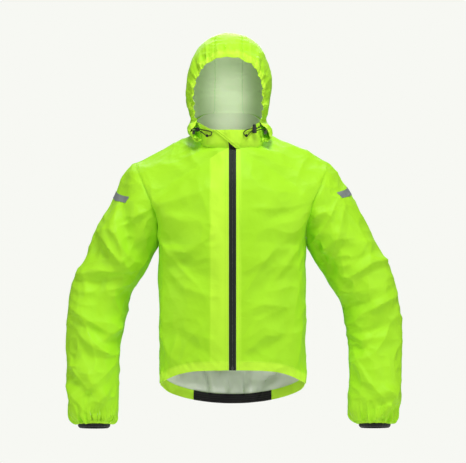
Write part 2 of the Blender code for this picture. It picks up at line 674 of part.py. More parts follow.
def hood_centre_grid():
    """The middle panel: rows go from the brim over the crown to the collar, and columns from right to left."""
    x = np.linspace(-1, 1, STRIP_COLUMNS + 1) * (STRIP_HALF - SEAM / 2)
    brim_z = FACE_EDGE[-1][2] + BRIM_RISE * (1 - (x / x[-1]) ** 2)
    brim = hood_depth(x, brim_z, -1)
    t = np.linspace(0, 1, HOOD_COLUMNS + 1)[:, None]
    crown = hood_height(np.tile(x, (len(t), 1)), brim[:, 1] + t * (CROWN_Y - brim[:, 1]))
    t = np.linspace(1, 0, HOOD_ROWS)[1:, None]
    behind = hood_depth(np.tile(x, (len(t), 1)), NAPE_Z + t * (crown[-1, :, 2] - NAPE_Z), 1)
    foot = behind[-1]
    turns = np.array([turn_of(p * (np.sign(p[0]) or 1, 1, 1)) for p in foot])
    fold = hanging_fold(foot * np.where(x < 0, -1, 1)[:, None] ** (1, 0, 0), turns)
    fold = fold * np.where(x < 0, -1, 1)[:, None] ** (1, 0, 0)
    return np.concatenate([crown, behind, fold[::-1]])


def hood_seam(side):
    """A side's points along the middle panel's seam, from the brim to the collar."""
    return np.concatenate([side[-1], side[-2::-1, -1]])


# Make everything

for old in list(bpy.data.objects):
    bpy.data.objects.remove(old)

NEON = material("neon_nylon", (0.45, 0.90, 0.03), 0.45)
BLACK_ELASTIC = material("black_elastic", (0.02, 0.02, 0.02), 0.8)
BLACK_TAPE = material("black_zip_tape", (0.025, 0.03, 0.03), 0.7)
BLACK_PLASTIC = material("black_plastic", (0.015, 0.02, 0.015), 0.4)
GREY_METAL = material("grey_metal", (0.35, 0.36, 0.36), 0.4)
SILVER = material("reflective_tape", (0.28, 0.30, 0.29), 0.5)
GREY_TAB = material("grey_tab", (0.30, 0.33, 0.22), 0.6)


def make_cloth():
    """The body, sleeves and collar, with the directions at their seams made common."""
    front, back = front_grid(), back_grid()
    sleeves = {"left": sleeve_grid(SLEEVE_LEFT), "right": mirrored(sleeve_grid(SLEEVE_RIGHT), closed=True)}
    turns = neck_turn(UP[NECK_ROW:])
    back_turns = np.linspace(SHOULDER_TURN, BACK_TURN, BACK_NECK_COLUMNS + 1)
    half = collar_grid(np.concatenate([turns, back_turns[1:]]))
    collar = np.concatenate([half, mirrored(half)[:, 1:]], axis=1)

    front_in, back_in, collar_in = -outward(front), -outward(back), -outward(collar)
    for edge in (front_in[: NECK_ROW + 1, 0], collar_in[:, 0], collar_in[:, -1]):
        edge[:] = unit(edge * (0, 1, 1))
    front_in[:, -1] = back_in[:, 0] = (-1, 0, 0)
    back_in[:, -1] = (1, 0, 0)
    front_in[-1] = back_in[-1] = (0, 0, -1)
    neck = BACK_SHOULDER_COLUMNS
    around = front_in[NECK_ROW:, 0]
    around = unit(around + collar_in[0, : len(around)])
    front_in[NECK_ROW:, 0] = around
    collar_in[0, : len(around)] = around
    collar_in[0, -len(around) :] = around[::-1] * (-1, 1, 1)
    behind = slice(len(around) - 1, len(around) + 2 * BACK_NECK_COLUMNS)
    common = unit(-outward(back)[-1, neck : neck + 2 * BACK_NECK_COLUMNS + 1] + collar_in[0, behind])
    common[0], common[-1] = around[-1], around[-1] * (-1, 1, 1)
    collar_in[0, behind] = back_in[-1, neck : neck + 2 * BACK_NECK_COLUMNS + 1] = common

    sleeve_in = {}
    for side, grid in sleeves.items():
        own = -outward(grid, closed=True)
        flip = 1 if side == "left" else -1
        ahead = -outward(front)[ARM_ROW:, -1][::-1]
        behind_arm = -outward(back)[ARM_ROW:, 0]
        body = np.concatenate([ahead, behind_arm[1:-1]]) * (flip, 1, 1)
        body[0] = (0, 0, -1)
        if side == "right":
            body = np.roll(body[::-1], 1, axis=0)
        shared = unit(own[0] + body)
        own[0] = shared
        sleeve_in[side] = own
        if side == "right":
            shared = np.roll(shared, -1, axis=0)[::-1]
        half_ring = ARM_ROWS + 1
        down, up = shared[:half_ring], np.concatenate([shared[half_ring - 1 :], shared[:1]])
        if side == "left":
            front_in[ARM_ROW:, -1] = down[::-1]
            back_in[ARM_ROW:, 0] = up
            left_front_in = front_in.copy()
        else:
            right_front_in = front_in.copy()
            right_front_in[ARM_ROW:, -1] = down[::-1] * (-1, 1, 1)
            back_in[ARM_ROW:, -1] = up

    fronts = {
        "left": (front, left_front_in),
        "right": (mirrored(front), mirrored(right_front_in)),
    }
    for side, (grid, inward) in fronts.items():
        fronts[side] = (leant(dented(grid, inward)), inward)
        wall(f"front_{side}", NEON, *fronts[side])
    back = leant(dented(back, back_in))
    wall("back", NEON, back, back_in)
    for side, grid in sleeves.items():
        sleeves[side] = dented(grid, sleeve_in[side])
        wall(f"sleeve_{side}", NEON, sleeves[side], sleeve_in[side], closed=True)
    wall("collar", NEON, leant(collar), collar_in)
    return fronts, (back, back_in), sleeves


def make_hood():
    """The hood's three panels, which share the directions along their seams."""
    side, centre = hood_side_grid(), hood_centre_grid()
    side_in, centre_in = -outward(side), -outward(centre)
    common = unit(hood_seam(side_in) + centre_in[:, -1])
    side_in[-1] = common[: HOOD_COLUMNS + 1]
    side_in[-2::-1, -1] = common[HOOD_COLUMNS + 1 :]
    centre_in[:, -1], centre_in[:, 0] = common, common * (-1, 1, 1)
    wall("hood_side_left", NEON, leant(side), side_in)
    wall("hood_side_right", NEON, leant(mirrored(side)), mirrored(side_in))
    wall("hood_centre", NEON, leant(centre), centre_in)


def lining(name, made, grid, inward, depth, thick):
    """A layer inside a piece, made from its points moved in."""
    wall(name, made, grid + depth * inward, inward, thick)


def make_hem(fronts, back):
    """The turn-ups inside the hem, the tail's elastic, and the storm flap behind the zip."""
    hem = slice(0, 2)
    depth = CLOTH + SEAM
    for side, (grid, inward) in fronts.items():
        lining(f"hem_casing_{side}", NEON, grid[hem], inward[hem], depth, FACING)
    grid, inward = back
    lining("hem_casing_back", NEON, grid[hem], inward[hem], depth, FACING)
    middle = slice(BACK_SHOULDER_COLUMNS, BACK_SHOULDER_COLUMNS + 2 * BACK_NECK_COLUMNS + 1)
    grid, inward = grid[hem, middle], inward[hem, middle]
    lining("hem_gripper", BLACK_ELASTIC, grid, inward, depth + FACING + SEAM, GRIPPER)
    grid, inward = fronts["right"]
    grid, inward = grid[1 : NECK_ROW + 1, -2:].copy(), inward[1 : NECK_ROW + 1, -2:]
    grid[0, :, 2] += 2 * SEAM
    lining("storm_flap", NEON, grid, inward, depth, FACING)


def zip_path():
    """The fronts' zip edge and then the collar's, from the hem to the top."""
    low = np.column_stack([np.zeros(NECK_ROW + 1), through(CENTRE_FRONT, UP[: NECK_ROW + 1])])
    high = collar_points(np.array([ZIP_TURN]), np.linspace(0, 1, COLLAR_ROWS + 1)[1:, None])[:, 0]
    return np.concatenate([low, high * (0, 1, 1)])


def zip_strip(name, made, path, left, right, sink, thick):
    """A strip along the zip between two places across it."""
    grid = np.stack([path + (left, sink, 0), path + (right, sink, 0)], axis=1)
    wall(name, made, leant(grid), -outward(grid), thick)


def box_of(name, made, low, high):
    """A small block between two corners."""
    x, y, z = zip(low, high)
    points = [(a, b, c) for c in z for b in y for a in x]
    faces = [(0, 2, 3, 1), (4, 5, 7, 6), (0, 1, 5, 4), (2, 6, 7, 3), (0, 4, 6, 2), (1, 3, 7, 5)]
    return added(name, mesh_of(name, points, faces), made)


def make_zip():
    path = zip_path()
    edge = ZIP_HALF - SEAM
    zip_strip("zip_tape_left", BLACK_TAPE, path, SEAM / 2, edge, TAPE_SINK, TAPE)
    zip_strip("zip_tape_right", BLACK_TAPE, path, -edge, -SEAM / 2, TAPE_SINK, TAPE)
    zip_strip("zip_coil", BLACK_PLASTIC, path, -COIL_HALF, COIL_HALF, TAPE_SINK + TAPE + SEAM, COIL)
    face = np.interp(STOP_Z, path[:, 2], path[:, 1]).min() + TAPE_SINK - SEAM
    box_of("zip_stop", GREY_METAL, (-STOP_HALF, face - STOP_THICK, STOP_Z[0]), (STOP_HALF, face, STOP_Z[1]))
    out, up = np.array(SLIDER_PROFILE).T
    z = SLIDER_Z + up
    y = np.interp(z, path[:, 2], path[:, 1]) + TAPE_SINK - out
    ends = [leant(np.column_stack([np.full_like(y, x), y, z])) for x in (-SLIDER_HALF, SLIDER_HALF)]
    count = len(y)
    sides = [(i + count, (i + 1) % count + count, (i + 1) % count, i) for i in range(count)]
    faces = sides + [tuple(range(count)), tuple(range(count, 2 * count))[::-1]]
    added("zip_slider", mesh_of("zip_slider", np.concatenate(ends), faces), BLACK_PLASTIC)


def make_chin_flap():
    """The flap over the zip's top: the collar's outer points, moved out, and further out over the slider."""
    rows = []
    turns = np.linspace(ZIP_TURN, 80, 40)
    for share, free, sewn in CHIN_FLAP:
        x = np.linspace(free, sewn, CHIN_COLUMNS + 1)
        line = collar_points(turns, np.full(len(turns), share))
        y, z = (np.interp(np.abs(x), line[:, 0], line[:, k]) for k in (1, 2))
        rows.append(np.stack([x, y, z], -1))
    grid = np.array(rows)
    way = outward(grid)
    over = CHIN_SLIDER_CLEAR * (1 - smooth(np.abs(grid[..., :1]) / CHIN_SLIDER_REACH))
    grid = grid + (CHIN_CLEAR + CLOTH + over) * way
    wall("chin_flap", NEON, leant(grid), -way)


def on_sleeve(grid, turns, places, at):
    """Points of a left sleeve's grid at places along it and turns round it."""
    turns = np.append(turns, 2 * np.pi)
    grid = np.concatenate([grid, grid[:, :1]], axis=1)
    at = at % (2 * np.pi)
    i = np.clip(np.searchsorted(SLEEVE_PLACES, places, side="right") - 1, 0, len(SLEEVE_PLACES) - 2)
    j = np.clip(np.searchsorted(turns, at, side="right") - 1, 0, len(turns) - 2)
    v = ((places - SLEEVE_PLACES[i]) / (SLEEVE_PLACES[i + 1] - SLEEVE_PLACES[i]))[..., None]
    u = ((at - turns[j]) / (turns[j + 1] - turns[j]))[..., None]
    low = (1 - u) * grid[i, j] + u * grid[i, j + 1]
    return (1 - v) * low + v * ((1 - u) * grid[i + 1, j] + u * grid[i + 1, j + 1])


def make_on_sleeves(sleeves):
    """The cuffs' elastic and the reflective strips, which are made from the sleeves' points."""
    turns = ring_turns(armhole())
    for side, table in (("left", SLEEVE_LEFT), ("right", SLEEVE_RIGHT)):
        ring = sleeve_rings(table, np.ones(1), turns)[0]
        way = unit(np.array((0, -table[-1][-1], -1)))
        grid = ring + np.array((SEAM, CUFF_HEIGHT / 2, CUFF_HEIGHT))[:, None, None] * way
        around = np.linspace(*np.radians(STRIP_TURNS[side]), STRIP_COLUMNS_ROUND + 1)
        middle = STRIP_PLACES[side] - STRIP_CLIMB * (1 - np.cos(around))
        places = middle + np.linspace(-1, 1, STRIP_ROWS + 1)[:, None] * STRIP_HALF_PLACE
        own = sleeves[side] if side == "left" else mirrored(sleeves[side], closed=True)
        strip = on_sleeve(own, turns, places, around + 0 * places)
        strip = strip + STRIP_LIFT * outward(strip)
        if side == "right":
            grid, strip = mirrored(grid, closed=True), mirrored(strip)
        wall(f"cuff_{side}", BLACK_ELASTIC, grid, -outward(grid, closed=True), ELASTIC, closed=True)
        wall(f"reflective_{side}", SILVER, strip, -outward(strip), STRIP_THICK)


def turned(name, made, profile, middle, axis, sides=12):
    """A solid turned about an axis, from a profile of radius and place along it."""
    axis = unit(np.array(axis, float))
    across = unit(np.cross(axis, (0.3, 0.5, 0.8)))
    third = np.cross(axis, across)
    angle = np.linspace(0, 2 * np.pi, sides, endpoint=False)
    spoke = np.cos(angle)[:, None] * across + np.sin(angle)[:, None] * third
    radius, along = np.array(profile).T
    points = np.array(middle) + along[:, None, None] * axis + radius[:, None, None] * spoke
    count = len(profile)
    index = np.arange(count * sides).reshape(count, sides)
    pairs = [(i, i + 1) for i in range(count - 1)]
    ringed = profile[0] == profile[-1]
    if ringed:
        points, index = points[:-1], np.concatenate([index[:-1], index[:1]])
    faces = [
        (index[i, k], index[i, (k + 1) % sides], index[j, (k + 1) % sides], index[j, k])
        for i, j in pairs
        for k in range(sides)
    ]
    if not ringed:
        faces += [tuple(index[0])[::-1], tuple(index[-1])]
    return added(name, mesh_of(name, points.reshape(-1, 3), faces), made)


def make_lock(side, middle, axis):
    """A barrel with a slot for both strands, and its plunger a hair above it."""
    r, chamfer = LOCK_RADIUS, 0.0012
    profile = [
        (r - chamfer, -LOCK_BACK),
        (r, -LOCK_BACK + chamfer),
        (r, LOCK_FRONT - chamfer),
        (r - chamfer, LOCK_FRONT),
    ]
    barrel = turned(f"cord_lock_{side}", BLACK_PLASTIC, profile, middle, axis, 16)
    half = np.array((2 * r, SLOT_DEEP / 2, SLOT_TALL / 2))
    slot = box_of(f"slot_{side}", BLACK_PLASTIC, np.array(middle) - half, np.array(middle) + half)
    slot.hide_render = True
    slot.display_type = "WIRE"
    cut = barrel.modifiers.new("slot", "BOOLEAN")
    cut.operation = "DIFFERENCE"
    cut.object = slot
    p, start = PLUNGER_RADIUS, LOCK_FRONT + SEAM
    end = start + PLUNGER_LENGTH
    profile = [(p, start), (p, end - chamfer), (p - chamfer, end)]
    turned(f"cord_plunger_{side}", BLACK_PLASTIC, profile, middle, axis, 16)


def make_cord(side, line):
    """A drawcord: a tube along a line of points."""
    data = bpy.data.curves.new(f"drawcord_{side}", "CURVE")
    data.dimensions = "3D"
    data.bevel_depth = CORD / 2
    data.bevel_resolution = 2
    data.use_fill_caps = True
    spline = data.splines.new("POLY")
    spline.points.add(len(line) - 1)
    for point, place in zip(spline.points, line):
        point.co = (*place, 1)
    added(f"drawcord_{side}", data, BLACK_ELASTIC)


def make_cords():
    r, bore, half = BEAD_RADIUS, BEAD_BORE, BEAD_HALF
    bead = [(bore, half), (bore, -half), (0.75 * r, -half), (r, -half / 3), (r, half / 3), (0.75 * r, half)]
    for side, route, lock in (("left", CORD_LEFT, LOCK_LEFT), ("right", CORD_RIGHT, LOCK_RIGHT)):
        route = np.array(route)
        stations = np.linspace(0, 1, len(route))
        make_cord(side, curve(stations, route, np.linspace(0, 1, CORD_POINTS)))
        make_lock(side, *lock)
        before, here, after = curve(stations, route, BEADS[side] + np.array((-0.015, 0, 0.015)))
        turned(f"cord_bead_{side}", BLACK_PLASTIC, bead + bead[:1], here, after - before, 12)
        x, y, z = TABS[side]
        low = (x - TAB_WIDE / 2, y - TAB_THICK / 2, z - TAB_TALL / 2)
        high = (x + TAB_WIDE / 2, y + TAB_THICK / 2, z + TAB_TALL / 2)
        box_of(f"cord_tab_{side}", GREY_TAB, low, high)


fronts, back, sleeves = make_cloth()
make_hood()
make_hem(fronts, back)
make_zip()
make_chin_flap()
make_on_sleeves(sleeves)
make_cords()
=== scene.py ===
"""A hooded hi-vis rain jacket, filled out as worn: how it looks.

Left and right are the wearer's. The wearer faces -Y, so the left is +X, and +Z is up. Sizes are in metres.

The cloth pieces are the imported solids' forms, worked out again from the same sizes on finer grids, rows by columns.
Columns crossed with rows point outwards. On those forms lie the folds, the gathers and the crumple of thin nylon.
"""

import bpy
import numpy as np
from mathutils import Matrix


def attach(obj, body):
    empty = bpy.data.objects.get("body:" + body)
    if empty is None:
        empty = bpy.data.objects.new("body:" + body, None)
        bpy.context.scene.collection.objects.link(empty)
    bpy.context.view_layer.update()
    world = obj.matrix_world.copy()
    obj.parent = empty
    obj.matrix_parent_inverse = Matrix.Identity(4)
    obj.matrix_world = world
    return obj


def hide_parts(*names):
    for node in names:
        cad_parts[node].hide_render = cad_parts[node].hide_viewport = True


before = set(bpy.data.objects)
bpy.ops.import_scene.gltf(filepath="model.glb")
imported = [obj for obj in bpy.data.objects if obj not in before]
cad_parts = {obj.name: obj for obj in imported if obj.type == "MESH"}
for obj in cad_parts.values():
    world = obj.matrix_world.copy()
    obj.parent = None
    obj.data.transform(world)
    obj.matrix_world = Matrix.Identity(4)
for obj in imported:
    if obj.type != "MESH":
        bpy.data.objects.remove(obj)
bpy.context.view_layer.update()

MM = 0.001

# Driving sizes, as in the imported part
SEAM = 0.0003
ZIP_HALF = 0.0095
CUFF_HEIGHT = 0.010
STRIP_HALF = 0.038
CORD = 0.0026
HOOD_LEAN = -0.0106
LEAN_FROM, LEAN_OVER = -0.02, 0.08
CLOTH = 0.0009  # the nylon here is thinner than the solid's wall

UNDERARM, NECK_FOOT, CASING_TOP = 0.55, 0.775, 0.0395
BACK_NECK_SHARE = 0.31
ZIP_TURN, SHOULDER_TURN, BACK_TURN = 7, 100, 180

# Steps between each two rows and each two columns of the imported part's grids
ROW_STEPS, COLUMN_STEPS = 7, 8
SLEEVE_ROW_STEPS, SLEEVE_COLUMN_STEPS = 10, 7
HOOD_ROW_STEPS, HOOD_COLUMN_STEPS = 7, 7

LOW_ROWS, ARM_ROWS = 11, 14
FRONT_COLUMNS = 9 * COLUMN_STEPS
BACK_NECK_COLUMNS, BACK_SHOULDER_COLUMNS = 4 * COLUMN_STEPS, 6 * COLUMN_STEPS
BACK_MIDDLE = slice(BACK_SHOULDER_COLUMNS, BACK_SHOULDER_COLUMNS + 2 * BACK_NECK_COLUMNS + 1)  # below the collar

OTHER_SIDE = (-1, 1, 1)
OTHER = {"left": "right", "right": "left"}

# The tables below are in millimetres, apart from places (from 0 to 1) and turns (degrees from the middle of the front).

# place up, y, z: the fronts' edge along the zip
CENTRE_FRONT = (
    (0, -118, -592), (0.2, -130, -480), (0.4, -139, -360), (0.55, -145, -265), (0.65, -145, -175),
    (0.72, -126, -85), (0.775, -92.2, -18),
)

# place up, y, z: the middle of the back
CENTRE_BACK = (
    (0, 118, -703), (0.2, 120, -570), (0.4, 127, -400), (0.55, 134, -272), (0.7, 133, -160), (0.85, 112, -55),
    (1, 70, 36),
)

# place up, x, y, z: the side seam
SIDE_SEAM = (
    (0, 195, 4, -636), (0.22, 193.5, 4, -500), (0.42, 193.8, 2, -360), (0.55, 195.5, 0, -272),
)

# place up, x, y of the front, y of the back, z: the two sides of the armhole
ARMHOLE = (
    (0.55, 195.5, 0, 0, -272), (0.6, 193.5, -30, 30, -250), (0.65, 194, -52, 52, -216),
    (0.73, 204.5, -69, 72, -172), (0.82, 225, -68, 77, -128), (0.91, 244, -43, 58, -84), (1, 258, 12, 12, -49),
)

# place up, then for front and back: fullness of a row (2 is an ellipse, 1 a straight line), how late it drops, and how
# round (1 follows a power, 2 a quarter of an ellipse)
ROW_SHAPE = (
    (0, 2.5, 3.5, 1, 2.5, 2, 2), (0.2, 2.5, 2.5, 1, 2.5, 2, 1), (0.55, 2.4, 1.5, 1, 2.4, 1.3, 1),
    (0.72, 2.1, 1.2, 1, 2.2, 1.1, 1), (0.87, 1.6, 1, 1, 1.7, 1, 1), (1, 1, 1, 1, 1, 1, 1),
)

# turn, x, y, z: the neck hole, one half
NECK = (
    (7, 9.5, -92.2, -18), (30, 43, -83, -17), (58, 74, -56, -11), (80, 87, -20, 8), (100, 90, 12, 30),
    (135, 66, 50, 36), (180, 0, 70, 36),
)

# turn, x, y, z: the collar's top edge, one half
COLLAR_TOP = (
    (7, 9.5, -99, 28.4), (30, 44, -89, 30), (58, 73.5, -60, 47), (80, 84.5, -22, 56), (100, 86, 12, 61),
    (135, 62, 52, 80), (180, 0, 73, 86),
)
COLLAR_BELLY = 0.003
COLLAR_ROWS = 24

# place down the sleeve, half depth, middle y, tilt of the ring's front edge in thousandths
SLEEVE_FORM = (
    (0, 74, 4, 0), (0.04, 79, 4, 0), (0.08, 83, 4, 0), (0.16, 84, 4, 0), (0.24, 82, 6, 0), (0.32, 79, 10, 0),
    (0.41, 77, 12, 0), (0.49, 75, 12, 0), (0.57, 73, 8, 0), (0.64, 71, 2, 0), (0.71, 69, -6, 30),
    (0.78, 67, -14, 60), (0.85, 65, -22, 90), (0.91, 62, -28, 120), (0.96, 54, -31, 150), (1, 40, -33, 180),
)
# outer x and z, inner x and z, at the same places
SLEEVE_EDGES = {
    "right": (
        (258, -49, 195.5, -272), (285, -76, 200, -281), (301, -109, 206, -290), (333, -172, 219, -315),
        (364, -236, 237, -347), (388, -300, 256, -379), (420, -363, 269, -411), (436, -427, 282, -451),
        (441, -490, 291.5, -495.5), (444, -538, 298, -538), (440, -586, 300.8, -580), (436, -633, 300.8, -628),
        (433, -681, 300.8, -676), (432, -711, 302, -708), (424, -730, 307, -730), (405.5, -741, 322, -741),
    ),
    "left": (
        (258, -49, 195.5, -272), (282, -76, 198.5, -280), (298, -109, 204, -288), (335, -172, 218.6, -315),
        (367, -236, 242.5, -347), (403, -300, 261, -379), (428, -363, 282, -411), (441, -427, 293, -450.5),
        (446.5, -490, 302, -495.5), (446.5, -538, 306, -538), (444, -586, 307.4, -582),
        (441, -633, 308.7, -630), (441, -681, 307, -678), (437, -711, 308, -708), (429, -729, 317, -729),
        (414.7, -740, 332.6, -740),
    ),
}
CAP_LENGTH = 0.30
CUFF_GATHER, CUFF_GATHER_FROM = 0.0028, 0.80

# The hood's form: z, half width, depth in front, depth behind. Above HOOD_LEVEL it closes to a dome.
HOOD_LEVEL, HOOD_RISE, HOOD_FULLNESS = 0.146, 0.146, 2.1
HOOD_FORM = (
    (46, 95.5, 94, 74.5), (60, 98.5, 100, 75.5), (78, 104, 109, 76.5), (90, 107, 116, 82), (100, 109, 121, 93),
    (120, 111, 127, 113), (146, 112.6, 130, 124),
)

# place, x, z: the edge of the face opening, from the hood's lower corner to its middle panel
FACE_EDGE = (
    (0, 83.7, 55), (0.2, 90, 88), (0.4, 89.2, 124), (0.6, 82, 158), (0.8, 65, 190), (1, 38, 209.5),
)
BRIM_RISE, CROWN_Y, NAPE_Z = 0.005, 0.068, 0.091
FACE_WAVE = 0.0022
HOOD_ROWS, HOOD_COLUMNS, STRIP_COLUMNS = 15 * HOOD_ROW_STEPS + 1, 9 * HOOD_COLUMN_STEPS, 4 * HOOD_COLUMN_STEPS

# place, share of the reach, share of the depth: the fold that hangs from the hood's foot outside the collar
FOLD = (
    (0, 0, 0), (0.2, 0.03, 0.45), (0.38, 0.08, 0.9), (0.5, 0.3, 1), (0.64, 0.82, 0.9), (0.76, 0.96, 0.62),
    (0.88, 0.72, 0.34),
)
# turn, reach, depth: that fold, from the hood's corner to the middle of the back
FOLD_SIZE = (
    (55, 30, 50), (75, 25, 36), (95, 15, 18), (120, 11, 9), (180, 8, 7),
)
FOLD_ROWS = 8 * HOOD_ROW_STEPS + 1
FOLD_CLEAR = 0.0020

# The solids' folds, under -1 the front's and under 1 the back's: depth, half width, then x, z of each point
CREASES = {
    -1: (
        (8, 30, -290, -150, -284, -215, -268, -285), (7, 30, -412, -366, -340, -362, -270, -338),
        (6, 30, -338, -330, -352, -410, -362, -500), (8, 30, -440, -535, -402, -600, -372, -652),
        (8, 28, -302, -572, -340, -606, -372, -652), (8, 28, 208, -262, 232, -305, 262, -352),
        (7, 28, 296, -312, 338, -302, 384, -280), (8, 28, 306, -430, 352, -420, 412, -392),
        (6, 26, 303, -503, 350, -500, 398, -480), (8, 28, 308, -540, 344, -590, 380, -645),
        (7, 26, 352, -702, 392, -684, 438, -645), (5, 36, -186, -240, -120, -330, -50, -420),
        (5, 36, 188, -236, 120, -320, 58, -420), (3, 30, -205, -166, -150, -176, -84, -196),
        (3, 30, 200, -166, 140, -184, 78, -210), (4, 28, -185, -470, -110, -520, -45, -566),
        (4, 28, 185, -460, 110, -522, 42, -572),
    ),
    1: (
        (7, 34, -190, -250, -110, -330, -20, -380), (7, 34, 190, -246, 118, -322, 30, -372),
        (5, 32, -150, -470, -60, -520, 30, -530), (5, 32, 160, -540, 80, -590, -10, -600),
        (8, 30, -408, -372, -345, -384, -285, -360), (7, 28, -430, -470, -370, -480, -300, -455),
        (7, 28, -420, -600, -360, -640, -312, -690), (8, 30, 412, -360, 350, -372, 290, -350),
        (7, 28, 436, -460, 380, -474, 310, -452), (7, 28, 428, -610, 370, -650, 322, -700),
    ),
}

# The same for crisper ridges: height, width to the left of the way, width to its right, then x, z.
# The narrow side is the steep one, which catches the shade.
RIDGES = {
    -1: (
        (5, 50, 14, -414, -352, -345, -340, -268, -338), (4.5, 16, 46, -268, -336, -312, -285, -352, -232),
        (4, 14, 40, -300, -150, -300, -215, -285, -290), (4, 42, 12, -428, -428, -380, -462, -328, -498),
        (3.5, 12, 36, -286, -478, -318, -500, -340, -522), (4.5, 40, 12, -436, -560, -405, -605, -373, -648),
        (4.5, 12, 40, -306, -578, -338, -612, -373, -648), (3, 26, 10, -432, -636, -408, -668, -385, -700),
        (3, 10, 26, -318, -648, -345, -672, -366, -705), (2.5, 22, 9, -278, -196, -252, -196, -222, -182),
        (3, 34, 12, -400, -500, -360, -540, -322, -556), (4.5, 12, 46, 412, -312, 362, -316, 306, -352),
        (4, 12, 38, 428, -404, 392, -420, 352, -444), (3.5, 34, 11, 312, -508, 340, -520, 362, -508),
        (4, 36, 12, 312, -538, 352, -620, 400, -684), (4, 12, 36, 444, -612, 404, -690, 362, -728),
        (3, 26, 10, 262, -178, 226, -188, 208, -204), (3.5, 12, 34, 290, -170, 278, -228, 258, -300),
        (3, 10, 24, 262, -262, 236, -286, 216, -286), (3, 28, 10, 392, -640, 420, -668, 440, -690),
        (2.2, 44, 16, -212, -170, -150, -156, -64, -128), (2.4, 14, 40, -60, -250, -118, -288, -176, -300),
        (2.6, 12, 34, -190, -258, -160, -282, -128, -286), (2.4, 40, 16, -172, -330, -120, -380, -52, -402),
        (2.2, 16, 38, -70, -470, -108, -510, -128, -560), (3.2, 10, 22, -143, -504, -150, -540, -160, -582),
        (2.6, 24, 12, -186, -380, -182, -440, -184, -520), (2, 14, 36, 110, -272, 84, -304, 34, -338),
        (2, 40, 14, 60, -174, 110, -176, 170, -168), (2.6, 12, 34, 186, -262, 150, -300, 118, -350),
        (2.4, 34, 14, 176, -350, 160, -430, 150, -520), (2.4, 14, 30, 182, -450, 174, -520, 168, -580),
        (2.2, 38, 14, 40, -540, 84, -500, 118, -504), (1.8, 36, 14, 30, -440, 80, -420, 140, -430),
    ),
    1: (
        (3.5, 44, 14, -186, -262, -120, -290, -40, -296), (3.5, 14, 44, 186, -258, 118, -286, 46, -300),
        (3, 40, 14, -170, -380, -90, -420, 10, -430), (3, 14, 40, 172, -410, 100, -460, 20, -480),
        (2.6, 36, 12, -160, -560, -80, -600, 20, -616), (2.4, 12, 34, 150, -620, 90, -640, 40, -636),
        (4.5, 46, 14, -414, -352, -350, -346, -280, -330), (4, 14, 40, -430, -440, -372, -452, -302, -430),
        (4, 38, 12, -432, -560, -380, -600, -320, -610), (3.5, 12, 32, -422, -640, -380, -680, -340, -700),
        (4.5, 14, 46, 414, -340, 354, -346, 286, -322), (4, 40, 14, 436, -430, 380, -448, 312, -420),
        (4, 12, 38, 436, -560, 382, -600, 322, -600), (3.5, 32, 12, 428, -646, 380, -680, 344, -706),
        (3, 14, 40, -300, -170, -290, -230, -262, -300), (3, 40, 14, 300, -170, 290, -230, 262, -300),
    ),
}

# x, y, z: the drawcords' routes, out of the hood's channel, through the lock, round the loop and back to the tab
CORD_RIGHT = (
    (-108.5, -71.5, 25), (-106.2, -76.2, 30), (-102, -79.6, 32.8), (-96.5, -81.2, 33), (-90.5, -81.5, 32.5),
    (-84, -81.5, 31.2), (-77, -81.2, 29.2), (-69, -81.5, 27.6), (-61, -85.6, 26.2), (-55.2, -90.5, 23.6),
    (-53.5, -93, 18.8), (-57, -91.2, 14.4), (-63, -87.2, 13), (-69.5, -83.8, 15.5), (-77, -82.2, 21.2),
    (-84, -81.6, 26.2), (-90.5, -81.5, 28.3), (-97.2, -81.2, 28), (-101.2, -78.8, 26.2),
)
CORD_LEFT = (
    (71.5, -65.5, 49), (73.5, -72.2, 45.6), (72.8, -80, 41.2), (69.4, -86.2, 36.2), (64, -89, 32.8),
    (60.4, -89, 31.8), (56.8, -89, 31.7), (51.5, -89, 31.7), (45, -90.8, 31.2), (37, -94.5, 28.6),
    (30.8, -98, 24), (28.8, -99, 18.6), (32.5, -98, 13.8), (39.5, -94.8, 14.8), (44.8, -91.2, 21.4),
    (51, -89, 26.7), (56.8, -89, 27), (61, -89, 27.2), (65.5, -88, 28), (71.2, -83.6, 30),
    (77.8, -79.6, 30), (84.2, -76.4, 28),
)
CORD_POINTS = 36

# share of the collar's height, x of the chin flap's free edge, x of its sewn edge
CHIN_FLAP = (
    (0, 8.5, 17), (0.25, -5, 21), (0.5, -18, 26), (0.75, -30, 31), (1, -43, 36),
)
FACING, GRIPPER = 0.0009, 0.0016
TAPE_SINK, COIL_PITCH = 0.0005, 0.002
STORM_WIDE, PLACKET_WIDE = 0.046, 0.009
CHANNEL = 0.020  # width of the drawcord's channel round the hood's face edge
CUFF_FLANGE = 0.030  # how far the cuffs' elastic goes up inside
STITCH_PITCH, STITCH_LONG, STITCH_THICK = 0.0038, 0.0028, 0.00032

# The reflective strips, by their place on the sleeve
STRIP_PLACES = {"right": 0.113, "left": 0.102}
STRIP_CLIMB, STRIP_HALF_PLACE = 0.077, 0.0116
STRIP_TURNS = {"right": (-55, 55), "left": (-55, 46)}

# x, z: the line along the front of the armhole where the cloth bridges chest and arm
BRIDGE_LINE = (240, 94, 222, 134, 203, 172, 193, 216, 193, 262)
BRIDGE_RISE, BRIDGE_HALF = 0.012, 0.075

